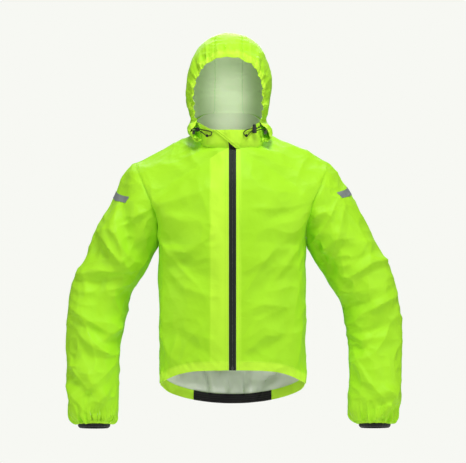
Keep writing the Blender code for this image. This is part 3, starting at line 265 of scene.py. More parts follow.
# The crumple's three sizes of lobes, how high each stands on the body and the hood, and how much more on the sleeves
LOBES = (0.12, 0.12, 0.09), (0.062, 0.062, 0.050), (0.036, 0.036, 0.030)
BODY, SLEEVE, HOOD = (0.0022, 0.0012, 0.0009), (0.0016, 0.0008, 0.0013), (0.0024, 0.0010, 0.0007)
SLANT, SLANT_LOBES = (0.85, 0.52), (0.046, 0.09, 0.15)
RIDGE_RISE, RIDGE_ROUND, CREASE_ROUND = 3.4, 0.0010, 0.0025
SEAM_DIP, SEAM_REACH, FROM_SEAM = 0.0010, 0.008, 0.0025
ZIP_STILL = 0.030  # the folds die away this far from the zip
UNDERARM_POINT, UNDERARM_STILL, UNDERARM_FADE = (0.1955, 0.0, -0.272), 0.025, 0.040  # and this near to the underarm
SEAM_TAPE = 0.012  # width of the tape along each seam, inside
# Painted light: the full brightness that light through two layers of the thin cloth gives
DOUBLE = {"light_through_layers": 1.0}

# Gathers along a line of stitches: size, height, reach, seed
HEM_PUCKERS, TAIL_PUCKERS = (0.009, 0.0019, 0.024, 11), (0.011, 0.0010, 0.022, 12)
CORD_GATHERS, FACE_FRILL = (0.016, 0.0036, 0.045, 21), (0.009, 0.0016, 0.016, 22)

# Pleats: lobe, height, reach, seed. The cuffs' lobes are counted in the sleeve's columns.
HEM_PLEATS, TAIL_PLEATS = (0.013, 0.0013, 0.036, 15), (0.024, 0.0105, 0.17, 13)
BRIM_PLEATS = (0.019, 0.0042, 0.034, 37)
CUFF_PLEATS = {"left": (0.8, 0.0046, 0.080, 17), "right": (0.8, 0.0046, 0.080, 18)}
ZIP_STITCHES, COLLAR_STITCHES = (0.0022, 0.0085), 0.006
TAPE_THICK, FILM_THICK, BINDING_THICK, FLAP_THICK = 0.0008, 0.0007, 0.0016, 0.0012
FILM_OFF, FLAP_OFF, CUFF_TAPER = 0.0011, 0.0022, 0.13

# The room
FLOOR_Z, FLOOR_RADIUS = -1.30, 3.0
ROOM_LIGHT, KEY_POWER, FRONT_POWER, SIDE_POWER, BACK_POWER = 0.11, 93, 18, 29, 85

# The camera: 4 m in front, level, at the height of the photograph's middle row
FRAME_WIDTH, DISTANCE, SENSOR = 1.235, 4.0, 36
LOOK_X, LOOK_Z = 0.0013, -0.2345


# Small tools


def curve(places, values, at):
    """A smooth curve that passes through values at places (cubic pieces), read at other places."""
    places, values = np.asarray(places, float), np.asarray(values, float)
    slopes = np.gradient(values, places, axis=0)
    at = np.clip(np.asarray(at, float), places[0], places[-1])
    i = np.clip(np.searchsorted(places, at, side="right") - 1, 0, len(places) - 2)
    shape = at.shape + (1,) * (values.ndim - 1)
    width = (places[i + 1] - places[i]).reshape(shape)
    t = (at - places[i]).reshape(shape) / width
    ends = (1 + 2 * t) * (1 - t) ** 2 * values[i] + t * t * (3 - 2 * t) * values[i + 1]
    return ends + t * (1 - t) ** 2 * width * slopes[i] + t * t * (t - 1) * width * slopes[i + 1]


def through(table, at, size=MM):
    """The same for a table: places in its first column, then values that are mostly in millimetres."""
    table = np.array(table, float)
    return curve(table[:, 0], table[:, 1:] * size, at)


def finer(values, steps):
    """Values with equal steps between each two neighbours."""
    return np.interp(np.arange((len(values) - 1) * steps + 1) / steps, np.arange(len(values)), values)


def smooth(t):
    t = np.clip(t, 0, 1)
    return t * t * (3 - 2 * t)


def near(distance, reach):
    """1 on an edge, falling softly to 0 at its reach and beyond."""
    return 1 - smooth(distance / reach)


def unit(vectors):
    return vectors / np.linalg.norm(vectors, axis=-1, keepdims=True)


def xyz(x, y, z):
    return np.stack(np.broadcast_arrays(x, y, z), -1)


def travelled(line):
    """Distance along a line of points, from its first."""
    return np.concatenate([[0], np.cumsum(np.linalg.norm(np.diff(line, axis=0), axis=1))])


def read(line, far, at):
    """Values at some distances along a line, from its values at others."""
    return np.stack([np.interp(at, far, line[:, k]) for k in range(3)], -1)


def mirrored(grid, closed=False):
    """The other side's grid: x turned round, and the columns too, so that it still faces outwards."""
    grid = (grid * OTHER_SIDE)[:, ::-1]
    return np.roll(grid, 1, axis=1) if closed else grid


def outward(grid, closed=False):
    """Unit normals: the way along a row crossed with the way up a column."""
    along = np.roll(grid, -1, axis=1) - np.roll(grid, 1, axis=1) if closed else np.gradient(grid, axis=1)
    return unit(np.cross(along, np.gradient(grid, axis=0)))


def edge_distance(grid, side):
    """Distance of a grid's points from one of its edges, along its rows (left, right) or columns (low, high)."""
    axis = 1 if side in ("left", "right") else 0
    steps = np.linalg.norm(np.diff(grid, axis=axis), axis=2)
    zero = np.zeros((len(grid), 1) if axis else (1, grid.shape[1]))
    if side in ("left", "low"):
        return np.concatenate([zero, np.cumsum(steps, axis=axis)], axis=axis)
    return np.flip(np.concatenate([zero, np.cumsum(np.flip(steps, axis=axis), axis=axis)], axis=axis), axis=axis)


def leant(points):
    """The neck and hood moved towards the wearer's right, more with height."""
    shift = HOOD_LEAN * smooth((points[..., 2] - LEAN_FROM) / LEAN_OVER)
    return points + shift[..., None] * (1, 0, 0)


def noise(points, size, seed=0):
    """Smooth values from -1 to 1 in space: one for each corner of cubes of a size, blended inside a cube."""
    place = points / np.asarray(size) + seed * 7.31
    corner = np.floor(place).astype(np.int64)
    part = smooth(place - corner)
    total = np.zeros(points.shape[:-1])
    for step in np.ndindex(2, 2, 2):
        at = corner + step
        mixed = at[..., 0] * 73856093 ^ at[..., 1] * 19349663 ^ at[..., 2] * 83492791 ^ (seed * 2654435761)
        mixed = (mixed ^ (mixed >> 13)) * 1274126177
        value = ((mixed >> 8) & 0xFFFF) / 32767.5 - 1
        total += value * np.prod(np.where(step, part, 1 - part), axis=-1)
    return total


def crumple(points, size, seed=0):
    """Sheet crumple from -1 to 1: soft lobes that meet in sharp creases, the zero lines of a noise."""
    return 1 - 2.6 * np.abs(noise(points, size, seed)) ** 0.8


def far_from(points, line):
    """Signed distance, seen from the front, from a line of points x, z (left of its way is positive), and the share
    along it."""
    flat, line = points[..., (0, 2)], np.reshape(line, (-1, 2)) * MM
    best = np.full(flat.shape[:-1], np.inf)
    signed, share = np.zeros_like(best), np.zeros_like(best)
    for i in range(len(line) - 1):
        way = line[i + 1] - line[i]
        t = np.clip(((flat - line[i]) @ way) / (way @ way), 0, 1)
        off = flat - line[i] - t[..., None] * way
        away = np.linalg.norm(off, axis=-1)
        nearer = away < best
        side = np.where(way[0] * off[..., 1] - way[1] * off[..., 0] < 0, -1, 1)
        best = np.where(nearer, away, best)
        signed = np.where(nearer, side * away, signed)
        share = np.where(nearer, (i + t) / (len(line) - 1), share)
    return signed, share


def folded(points, inward):
    """How far the folds stand out. A ridge is a tent, steep on its narrow side, and a crease is a hollow. Both fade
    towards the ends of their line, and where the cloth turns away from their side."""
    height = np.zeros(points.shape[:-1])
    for side, rows in RIDGES.items():
        facing = smooth((-side * inward[..., 1] - 0.05) / 0.5)
        for high, left, right, *line in rows:
            away, share = far_from(points, line)
            fade = np.sin(np.pi * (0.10 + 0.80 * share))
            width = (np.where(away > 0, left, right) * 1.2 + 9) * MM * (0.3 + 0.7 * fade)
            tent = np.clip(1 - np.sqrt(away**2 + RIDGE_ROUND**2) / width, 0, 1) ** 1.5
            height += RIDGE_RISE * high * MM * fade * tent * facing
    for side, rows in CREASES.items():
        facing = smooth((-side * inward[..., 1] - 0.1) / 0.5)
        for deep, half, *line in rows:
            away, share = far_from(points, line)
            fade = 0.35 + 0.65 * np.sin(np.pi * share)
            fall = np.clip(1 - np.sqrt(away**2 + CREASE_ROUND**2) / (half * MM), 0, 1) ** 1.4
            height -= deep * MM * fade * fall * facing
    return height


# Materials


def linear(code):
    """An sRGB hex colour as linear red, green, blue and alpha."""
    parts = np.array([int(code[i : i + 2], 16) for i in (1, 3, 5)]) / 255
    parts = np.where(parts <= 0.04045, parts / 12.92, ((parts + 0.055) / 1.055) ** 2.4)
    return (*parts, 1.0)


def node(tree, kind, inputs=(), **settings):
    """Adds a node with its settings, and sets or links its inputs, by name or by number."""
    made = tree.nodes.new(kind)
    for name, value in settings.items():
        setattr(made, name, value)
    for key, value in dict(inputs).items():
        if isinstance(value, bpy.types.NodeSocket):
            tree.links.new(value, made.inputs[key])
        else:
            made.inputs[key].default_value = value
    return made


def blend(tree, factor, first, second):
    """A colour between two: each is a hex colour or a socket."""
    first, second = (linear(value) if isinstance(value, str) else value for value in (first, second))
    return node(tree, "ShaderNodeMix", {0: factor, 6: first, 7: second}, data_type="RGBA").outputs[2]


def spread(tree, value, low, high, start=0.0, end=1.0):
    """A value from low to high, as one from start to end."""
    inputs = {"Value": value, "From Min": low, "From Max": high, "To Min": start, "To Max": end}
    return node(tree, "ShaderNodeMapRange", inputs).outputs[0]


def own_map(tree):
    return node(tree, "ShaderNodeUVMap", uv_map="cloth").outputs[0]


def in_space(tree):
    return node(tree, "ShaderNodeTexCoord").outputs["Object"]


def attribute(tree, name):
    return node(tree, "ShaderNodeAttribute", attribute_name=name).outputs["Fac"]


def bands(tree, place, scale, way, bend=0.0):
    inputs = {"Vector": place, "Scale": scale, "Distortion": bend}
    return node(tree, "ShaderNodeTexWave", inputs, bands_direction=way).outputs[1]


def threads(tree, place, pitch, ways="XY"):
    """Threads a pitch apart along the ways of a map: rounded bands, added up."""
    parts = [bands(tree, place, 0.31416 / pitch, way) for way in ways]
    if len(parts) == 1:
        return parts[0]
    return node(tree, "ShaderNodeMath", dict(enumerate(parts)), operation="ADD").outputs[0]


def grain(tree, place, size, detail=2.0):
    """Cloudy noise from 0 to 1 with lobes of a size."""
    return node(tree, "ShaderNodeTexNoise", {"Vector": place, "Scale": 1 / size, "Detail": detail}).outputs[0]


def finish(name, colour, *bumps, glow=None, **constants):
    """A material. The constants go on the shader's own sockets. The colour is a function of the tree, or two hex
    colours and the pattern between them. A pattern is a function, the map it lies on, and its sizes. Each of the
    bumps is a depth in metres and a pattern, on top of the one before."""
    made = bpy.data.materials.new(name)
    made.use_nodes = True
    tree = made.node_tree
    shader = tree.nodes["Principled BSDF"]
    for key, value in constants.items():
        shader.inputs[key.replace("_", " ")].default_value = value
    if isinstance(colour, tuple):
        dark, pale, kind, place, *sizes = colour
        tree.links.new(blend(tree, kind(tree, place(tree), *sizes), dark, pale), shader.inputs["Base Color"])
    elif colour:
        tree.links.new(colour(tree), shader.inputs["Base Color"])
    if glow:
        tree.links.new(glow(tree), shader.inputs["Emission Color"])
    normal = None
    for deep, kind, place, *sizes in bumps:
        inputs = {"Height": kind(tree, place(tree), *sizes), "Distance": deep, "Strength": 1.0}
        if normal:
            inputs["Normal"] = normal
        normal = node(tree, "ShaderNodeBump", inputs).outputs[0]
    if normal:
        tree.links.new(normal, shader.inputs["Normal"])
    return made


def nylon_colour(tree):
    """Painted light: brighter and yellower where two layers lie together, because the cloth lets light through."""
    single = blend(tree, grain(tree, in_space(tree), 0.11), "#A4E41C", "#B2F02A")
    return blend(tree, attribute(tree, "light_through_layers"), single, "#C7FC3A")


def coating_colour(tree):
    """Painted light: the outside's colour shows through as light through the cloth carries it, most at the top. Seam
    tape lies along the seams, a little paler.
    """
    height = node(tree, "ShaderNodeSeparateXYZ", {0: in_space(tree)}).outputs["Z"]
    high, tape = spread(tree, height, -0.45, 0.02), attribute(tree, "tape")
    # Painted light: greener towards the top, as light through the cloth would make it
    plain = blend(tree, high, "#E6EEDF", "#D0E6B8")
    taped = blend(tree, tape, plain, blend(tree, high, "#ECF2E8", "#D2EDB6"))
    return blend(tree, spread(tree, tape, 0.90, 0.99), taped, "#B4CE98")


def coating_glow(tree):
    # Painted light: the inside's glow, by the glow mark
    return blend(tree, attribute(tree, "glow"), "#000000", "#E8F2D2")


# Nylon taffeta, woven and coated: a soft sheen. The weave is drawn 1 mm wide, as a finer one can't show.
NYLON = finish(
    "fluorescent_coated_nylon",
    nylon_colour,
    (0.00003, threads, own_map, 0.001),
    (0.00035, grain, own_map, 0.007, 3.0),
    (0.0014, grain, own_map, 0.030, 4.0),
    Roughness=0.55,
    Specular_IOR_Level=0.22,
    Sheen_Weight=0.03,
    Sheen_Roughness=0.5,
)
# Its inside, smoother. It glows with painted light, as daylight through the back of the hood and collar would make it
# glow.
COATING = finish(
    "pale_polyurethane_coating",
    coating_colour,
    (0.0004, grain, own_map, 0.006, 3.0),
    Roughness=0.55,
    Specular_IOR_Level=0.3,
    Emission_Strength=0.50,
    glow=coating_glow,
)
# Woven elastic binding: dull, with a few wide ribs along its length and fine ones across it
ELASTIC = finish(
    "black_woven_elastic",
    ("#0E0D0F", "#2A282B", threads, own_map, 0.0055, "Y"),
    (0.0003, threads, own_map, 0.0016, "X"),
    (0.00015, threads, own_map, 0.0009, "Y"),
    Roughness=0.85,
    Specular_IOR_Level=0.2,
    Sheen_Weight=0.2,
)
# Polyester tape with a thin matt coating against the rain: near black, with a hint of its weave
TAPE = finish(
    "coated_zip_tape",
    ("#171D18", "#20271F", grain, own_map, 0.02),
    (0.00008, threads, own_map, 0.0012),
    Roughness=0.55,
    Specular_IOR_Level=0.25,
)
# A dull gloss with faint moulding grain
ACETAL = finish(
    "moulded_black_acetal",
    ("#101410", "#1B211B", grain, in_space, 0.003),
    (0.00003, grain, in_space, 0.0008),
    Roughness=0.38,
    IOR=1.48,
)
# Strands that cross on a slant, from the cord's own place in space
STRANDS = (bands, in_space, 330.0, "DIAGONAL", 1.5)
BRAID = finish(
    "black_braided_cord", ("#12160F", "#2A3026", *STRANDS), (0.00025, *STRANDS), Roughness=0.75, Specular_IOR_Level=0.25
)
# Glass beads on aluminium under a clear face: a matt grey
FILM = finish(
    "glass_bead_retroreflective_film",
    ("#7F8A80", "#A9B0B2", grain, own_map, 0.018),
    (0.0001, grain, own_map, 0.0015),
    Metallic=0.35,
    Roughness=0.42,
)
ZINC = finish(
    "blackened_tumbled_zinc", ("#4A4D4B", "#626562", grain, in_space, 0.002), Metallic=1.0, Roughness=0.38
)
# Woven polyester, grey-green, that holds a cord's end
RIBS = (bands, in_space, 260.0, "Z")
TAB = finish("grey_woven_tape", ("#3A4230", "#525B42", *RIBS), (0.0002, *RIBS), Roughness=0.8)
THREAD = finish("fluorescent_sewing_thread", ("#8FCB1E", "#A5E02A", grain, in_space, 0.002), Roughness=0.6)

SHELL = (NYLON, COATING)


# Meshes


def placed(name, data, solid=""):
    """An object on the part's body, in place of a solid if one is named."""
    piece = bpy.data.objects.new(name, data)
    bpy.context.collection.objects.link(piece)
    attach(piece, "root")
    if solid:
        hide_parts(solid)
    return piece


def mesh_of(name, points, faces, materials, sharp=40):
    """A mesh from arrays: points, and faces that all have as many corners."""
    mesh = bpy.data.meshes.new(name)
    faces = np.asarray(faces)
    mesh.vertices.add(len(points))
    mesh.vertices.foreach_set("co", np.ascontiguousarray(points, np.float32).ravel())
    mesh.loops.add(faces.size)
    mesh.loops.foreach_set("vertex_index", faces.ravel().astype(np.int32))
    mesh.polygons.add(len(faces))
    mesh.polygons.foreach_set("loop_start", np.arange(len(faces), dtype=np.int32) * faces.shape[1])
    mesh.update(calc_edges=True)
    mesh.validate()
    for made in materials:
        mesh.materials.append(made)
    mesh.shade_smooth()
    mesh.set_sharp_from_angle(angle=np.radians(sharp))
    return mesh


def cells(table):
    """The corners of each cell between rows and columns of numbers."""
    return np.stack([table[:-1, :-1], table[:-1, 1:], table[1:, 1:], table[1:, :-1]], -1).reshape(-1, 4)


def layer(solid, grid, inward, materials, name="", thick=CLOTH, closed=False, marks=(), lining=()):
    """A sheet of cloth: the grid's points, the same moved in by its thickness, and its edges filled.

    The first material is the outside's and the edges', the second the inside's. marks are values on the points, for
    the materials. lining gives some cells' inside, by rows or by a mask, another of the materials. Its own map is the
    distance along its middle row and column, in metres.
    """
    name = name or f"{solid}_shell"
    rows, columns = grid.shape[:2]
    count = rows * columns
    index = np.arange(count).reshape(rows, columns)
    whole = grid
    if closed:
        index, whole = (np.concatenate([table, table[:, :1]], axis=1) for table in (index, grid))
    wide = whole.shape[1]
    across, up = np.meshgrid(travelled(whole[rows // 2]), travelled(whole[:, wide // 2]))
    flat = np.stack([across, up], -1).reshape(-1, 2)
    places = np.arange(rows * wide).reshape(rows, wide)

    skin, skin_places = cells(index), cells(places)
    faces, corners = [skin], [skin_places]
    lines = [(table[0], table[-1][::-1], table[:, -1], table[::-1, 0]) for table in (index, places)]
    for line, place in list(zip(*lines))[: 2 if closed else 4]:
        faces.append(np.stack([line[1:], line[:-1], line[:-1] + count, line[1:] + count], -1))
        corners.append(np.stack([place[1:], place[:-1], place[:-1], place[1:]], -1))
    faces = np.concatenate([*faces, skin[:, ::-1] + count])
    corners = np.concatenate([*corners, skin_places[:, ::-1]])
    points = np.concatenate([grid.reshape(-1, 3), (grid + thick * inward).reshape(-1, 3)])
    mesh = mesh_of(name, points, faces, materials)
    own = mesh.uv_layers.new(name="cloth")
    own.data.foreach_set("uv", flat[corners.ravel()].astype(np.float32).ravel())
    if len(materials) > 1:
        which = np.zeros(len(faces), np.int32)
        inside = which[-len(skin) :].reshape(rows - 1, -1)
        inside[:] = 1
        for made, some in lining:
            inside[some] = made
        mesh.polygons.foreach_set("material_index", which)
    for mark, values in dict(marks).items():
        values = np.broadcast_to(values, (rows, columns)).ravel()
        mesh.attributes.new(mark, "FLOAT", "POINT").data.foreach_set("value", np.tile(values, 2).astype(np.float32))

    piece = placed(name, mesh, solid)
    far = whole[1:, 1:] - whole[:-1, :-1]
    halves = (np.cross(whole[:-1, 1:] - whole[:-1, :-1], far), np.cross(far, whole[1:, :-1] - whole[:-1, :-1]))
    area = sum(np.linalg.norm(half, axis=2).sum() for half in halves) / 2
    sizes = (np.linalg.norm(np.diff(whole, axis=axis), axis=2).sum(axis=axis) for axis in (1, 0))
    width, length = (max(round(float(size.max()), 4), 0.01) for size in sizes)
    area = min(float(area), width * length)


# The body

UP_ROWS = np.concatenate([[0], np.linspace(CASING_TOP, UNDERARM, LOW_ROWS), np.linspace(UNDERARM, 1, ARM_ROWS + 1)[1:]])
UP = finer(UP_ROWS, ROW_STEPS)
ARM_ROW = LOW_ROWS * ROW_STEPS
NECK_ROW = ARM_ROW + ARM_ROWS // 2 * ROW_STEPS


def neck_turn(up):
    return ZIP_TURN + (SHOULDER_TURN - ZIP_TURN) * (up - NECK_FOOT) / (1 - NECK_FOOT)


def side_edge(front):
    """The side seam's points and then the armhole's, on the front or on the back."""
    arm = through(ARMHOLE, UP[ARM_ROW:])[:, (0, 1, 3) if front else (0, 2, 3)]
    return np.concatenate([through(SIDE_SEAM, UP[:ARM_ROW]), arm])


def arc(inner, outer, fullness, late, roundness, share):
    """Rows that bend from an inner edge's point to an outer edge's, as a quarter of a superellipse."""
    turn = share * np.pi / 2
    across, ahead = np.sin(turn) ** (2 / fullness[:, None]), np.cos(turn) ** (2 / fullness[:, None])
    x = inner[:, :1] + (outer[:, :1] - inner[:, :1]) * across
    y = outer[:, 1:2] + (inner[:, 1:2] - outer[:, 1:2]) * ahead
    drop = 1 - np.maximum(1 - across ** late[:, None], 0) ** (1 / roundness[:, None])
    return xyz(x, y, inner[:, 2:] + (outer[:, 2:] - inner[:, 2:]) * drop)


def filled(grid):
    """The cloth bridges the hollow between chest and arm: points there moved to the front."""
    away, share = far_from(np.abs(grid), BRIDGE_LINE)
    wide = smooth(1 - np.abs(away) / BRIDGE_HALF) * np.sin(np.pi * (0.08 + 0.84 * share))
    front = smooth((0.005 - grid[..., 1]) / 0.05)
    return grid - (BRIDGE_RISE * wide * front)[..., None] * (0, 1, 0)


def front_grid():
    """The left front: rows go up, and columns go from the zip to the side."""
    inner = np.column_stack([np.full(len(UP), ZIP_HALF), through(CENTRE_FRONT, UP)])
    inner[NECK_ROW:] = through(NECK, neck_turn(UP[NECK_ROW:]))
    outer = side_edge(front=True) - (0, SEAM / 2, 0)
    fullness, late, roundness = through(ROW_SHAPE, UP, 1)[:, :3].T
    grid = arc(inner, outer, fullness, late, roundness, np.linspace(0, 1, FRONT_COLUMNS + 1))
    grid[-1, :, 1] -= SEAM / 2
    return filled(grid)


def back_grid():
    """The back: rows go up, and columns go from the wearer's left side to the right."""
    neck = np.linspace(0, BACK_NECK_SHARE, BACK_NECK_COLUMNS + 1)
    shoulder = np.linspace(BACK_NECK_SHARE, 1, BACK_SHOULDER_COLUMNS + 1)[1:]
    inner = np.column_stack([np.zeros(len(UP)), through(CENTRE_BACK, UP)])
    outer = side_edge(front=False) + (0, SEAM / 2, 0)
    fullness, late, roundness = through(ROW_SHAPE, UP, 1)[:, 3:].T
    half = arc(inner, outer, fullness, late, roundness, np.concatenate([neck, shoulder]))
    around = through(NECK, BACK_TURN - (BACK_TURN - SHOULDER_TURN) * neck / BACK_NECK_SHARE)
    along = ((shoulder - BACK_NECK_SHARE) / (1 - BACK_NECK_SHARE))[:, None]
    top = np.concatenate([around, around[-1] + (outer[-1] - around[-1]) * along])
    half += smooth((UP - 0.74) / 0.26)[:, None, None] ** 1.5 * (top - half[-1])
    half[-1, 1:, 1] += SEAM / 2
    return np.concatenate([half[:, ::-1], (half * OTHER_SIDE)[:, 1:]], axis=1)


# The sleeves

SLEEVE_PLACES = finer(np.concatenate([[0, 0.03, 0.06], np.linspace(0.1, 0.94, 17), [0.97, 1.0]]), SLEEVE_ROW_STEPS)


def armhole():
    """The left armhole, from the shoulder's tip down the front to the underarm and up the back."""
    return np.concatenate([side_edge(front=True)[ARM_ROW:][::-1], side_edge(front=False)[ARM_ROW:][1:-1]])


def ring_turns(loop):
    """Each armhole point's turn round the sleeve, by its distance from the shoulder's tip."""
    *far, whole = travelled(np.concatenate([loop, loop[:1]]))
    half = far[len(loop) // 2]
    return np.interp(far, (0, half, whole), (0, np.pi, 2 * np.pi))


def sleeve_rings(side, places, turns):
    """Rings round a sleeve, as on the left: an ellipse from the outer to the inner edge, its front edge tilted up."""
    values = through(np.column_stack([SLEEVE_FORM, SLEEVE_EDGES[side]]), places)[:, None]
    deep, middle, tilt = np.moveaxis(values[..., :3], -1, 0)
    outer, inner = values[..., 3:5], values[..., 5:7]
    cos, sin = np.cos(turns), np.sin(turns)
    flat = (outer + inner) / 2 + (outer - inner) / 2 * cos[..., None]
    return xyz(flat[..., 0], middle - deep * sin, flat[..., 1] + tilt * deep * sin)


def sleeve_grid(side):
    """Those rings, with the first ones bent to the armhole and the last ones gathered."""
    loop = armhole()
    turns = ring_turns(loop)
    extra = loop - sleeve_rings(side, np.zeros(1), turns)[0]
    fade = 1 - smooth(SLEEVE_PLACES / CAP_LENGTH)
    grid = sleeve_rings(side, SLEEVE_PLACES, turns) + fade[:, None, None] * extra
    grid[0] += SEAM * unit(np.array((0.95, 0, -0.3)))
    column = np.arange(len(turns)) / SLEEVE_COLUMN_STEPS
    rise = smooth((SLEEVE_PLACES - CUFF_GATHER_FROM) / (1 - CUFF_GATHER_FROM))[:, None]
    uneven = 0.75 + 0.5 * np.sin(2.1 * column + 1.0) * np.sin(0.9 * column)
    wave = -np.cos(np.pi * column) * uneven + 0.35 * np.sin(2.7 * np.pi * column) * rise
    rise = rise * (1 - 0.85 * smooth((SLEEVE_PLACES - 0.975) / 0.02)[:, None])
    return filled(grid) + (CUFF_GATHER * rise * wave)[..., None] * outward(grid, closed=True)


# The collar and hood


def collar_points(turns, share):
    """Points of the collar's outside, at turns round the neck and at a share of its height."""
    low, high = through(NECK, turns), through(COLLAR_TOP, turns)
    low[:, 2] += 2 * SEAM
    share = np.asarray(share)[..., None]
    return low + (high - low) * share + COLLAR_BELLY * np.sin(np.pi * share) * unit(low * (1, 1, 0))


def hood_sizes(x, y, z):
    """x and y as shares of the hood's half width and depth at their height, that depth, and z as a share of the rise
    above HOOD_LEVEL, all raised to the form's fullness apart from the depth."""
    width, front, back = np.moveaxis(through(HOOD_FORM, np.minimum(z, HOOD_LEVEL) / MM), -1, 0)
    deep = np.where(y < 0, front, back)
    above = np.maximum(z - HOOD_LEVEL, 0) / HOOD_RISE
    return np.abs(x / width) ** HOOD_FULLNESS, np.abs(y / deep) ** HOOD_FULLNESS, deep, above**HOOD_FULLNESS


def on_hood(points):
    """Points moved on to the hood's form: level with its axis below HOOD_LEVEL, and from its centre above."""
    x, y, z = np.moveaxis(points, -1, 0)
    wide, deep, _, high = hood_sizes(x, y, z)
    size = (wide + deep + high) ** (-1 / HOOD_FULLNESS)
    return xyz(x * size, y * size, np.where(high > 0, HOOD_LEVEL + (z - HOOD_LEVEL) * size, z))


def hood_depth(x, z, side):
    """The point of the hood's form at x and z, in front (side -1) or behind (1)."""
    x, z = np.broadcast_arrays(np.asarray(x, float), np.asarray(z, float))
    wide, _, deep, high = hood_sizes(x, np.full_like(x, side), z)
    return xyz(x, side * deep * np.maximum(1 - wide - high, 0) ** (1 / HOOD_FULLNESS), z)


def hood_height(x, y):
    """The point of the hood's dome at x and y."""
    x, y = np.broadcast_arrays(np.asarray(x, float), np.asarray(y, float))
    wide, deep, *_ = hood_sizes(x, y, np.full_like(x, HOOD_LEVEL))
    return xyz(x, y, HOOD_LEVEL + HOOD_RISE * np.maximum(1 - wide - deep, 0) ** (1 / HOOD_FULLNESS))


def ways_out(turns):
    turn = np.radians(turns)
    return xyz(np.sin(turn), -np.cos(turn), 0)


def hood_foot(turns):
    """The line where the hood's form begins, a little above the collar's top edge."""
    low = FACE_EDGE[0][2] * MM
    z = low + (NAPE_Z - low) * smooth((turns - turns[0]) / (turns[-1] - turns[0]))
    return on_hood(0.1 * ways_out(turns) + z[:, None] * (0, 0, 1))


def hanging_fold(foot, turns):
    """Rows from the collar's top edge down outside the collar, round, and up to the hood's foot."""
    reach, depth = through(FOLD_SIZE, turns).T
    places, outs, downs = np.array(FOLD).T
    top = through(COLLAR_TOP, turns)[:, 2]
    height = top - through(NECK, turns)[:, 2]
    rows = collar_points(turns, np.maximum(1 - downs[:, None] * depth / height, 0))
    rows[..., 2] = top - downs[:, None] * depth
    rows = rows + (FOLD_CLEAR + outs[:, None, None] * reach[:, None]) * ways_out(turns)
    return curve(np.append(places, 1), np.concatenate([rows, foot[None]]), np.linspace(0, 1, FOLD_ROWS)[:-1])


def between(bottom, top, left, right):
    """A surface between four edges (a Coons patch)."""
    u = np.linspace(0, 1, len(bottom))[None, :, None]
    v = np.linspace(0, 1, len(left))[:, None, None]
    ruled = (1 - v) * bottom + v * top + (1 - u) * left[:, None] + u * right[:, None]
    return ruled - (1 - v) * ((1 - u) * bottom[0] + u * bottom[-1]) - v * ((1 - u) * top[0] + u * top[-1])


def turn_of(point):
    return np.degrees(np.arctan2(point[..., 0], -point[..., 1]))


def hood_side_grid():
    """The left side: rows go up from the collar, and columns go from the face edge back to the middle panel."""
    edge = through(FACE_EDGE, np.linspace(0, 1, HOOD_ROWS))
    left = hood_depth(edge[:, 0], edge[:, 1], -1)
    seam_x = STRIP_HALF + SEAM / 2
    left[-1] = hood_depth(seam_x, edge[-1, 1], -1)
    top = hood_height(seam_x, np.linspace(left[-1, 1], CROWN_Y, HOOD_COLUMNS + 1))
    right = hood_depth(seam_x, np.linspace(NAPE_Z, top[-1, 2], HOOD_ROWS), 1)
    turns = np.linspace(turn_of(left[0]), turn_of(right[0]), HOOD_COLUMNS + 1)
    bottom = hood_foot(turns)
    dome = on_hood(between(bottom, top, left, right))
    dome[0], dome[-1], dome[:, 0], dome[:, -1] = bottom, top, left, right
    grid = np.concatenate([hanging_fold(bottom, turns), dome])
    row = np.arange(len(grid)) / HOOD_ROW_STEPS
    ends = np.clip(np.minimum(row, row[-1] - row), 0, 1)
    wave = (-np.cos(np.pi * row) + 0.4 * np.sin(2.3 * np.pi * row)) * ends * FACE_WAVE
    fade = np.clip(1 - np.linspace(0, 1, HOOD_COLUMNS + 1) * 2.5, 0, 1) ** 1.5
    return grid + (wave[:, None] * fade)[..., None] * outward(grid)


def hood_centre_grid():
    """The middle panel: rows go from the brim over the crown to the collar, and columns from right to left."""
    x = np.linspace(-1, 1, STRIP_COLUMNS + 1) * (STRIP_HALF - SEAM / 2)
    brim = hood_depth(x, FACE_EDGE[-1][2] * MM + BRIM_RISE * (1 - (x / x[-1]) ** 2), -1)
    t = np.linspace(0, 1, HOOD_COLUMNS + 1)[:, None]
    crown = hood_height(x, brim[:, 1] + t * (CROWN_Y - brim[:, 1]))
    t = np.linspace(1, 0, HOOD_ROWS)[1:, None]
    behind = hood_depth(x, NAPE_Z + t * (crown[-1, :, 2] - NAPE_Z), 1)
    side = np.where(x < 0, -1, 1)[:, None] ** (1, 0, 0)
    foot = behind[-1] * side
    return np.concatenate([crown, behind, (hanging_fold(foot, turn_of(foot)) * side)[::-1]])


# Making the cloth


def seam_dips(grid, *sides):
    """How far the cloth is drawn in along its seams."""
    return sum(SEAM_DIP * near(edge_distance(grid, side), SEAM_REACH) for side in sides)


def crumpled(points, rises, seed=3):
    """How far thin nylon's crumple stands out: lobes a hand wide, and smaller ones on them, all bent at random, and
    longer creases that run from the armpits down towards the middle."""
    bent = points + 0.022 * np.stack([noise(points, 0.09, seed + k) for k in (41, 42, 43)], -1)
    side, deep, high = np.abs(bent[..., 0]), bent[..., 1], bent[..., 2]
    across, down = SLANT
    slant = xyz(across * side - down * high + (points[..., 0] < 0), deep, down * side + across * high)
    long = (rises[1] + rises[2]) * crumple(slant, SLANT_LOBES, seed + 15) * smooth(np.abs(points[..., 0]) / 0.04)
    return sum(rise * crumple(bent, lobes, seed + own) for rise, lobes, own in zip(rises, LOBES, (0, 9, 5))) + long


def moved(points, inward, height):
    """Points moved out by a height, which dies away at the underarms, where four pieces meet."""
    away = np.linalg.norm(np.abs(points) * (1, 1, -1) - UNDERARM_POINT, axis=-1)
    return points - (height * smooth((away - UNDERARM_STILL) / UNDERARM_FADE))[..., None] * inward


def puckers(along, distance, size, high, reach, seed):
    """Small uneven gathers along a line of stitches: waves across it, fading with the distance from it."""
    return high * noise(xyz(along, 0, 0), size, seed) * near(np.abs(distance), reach)


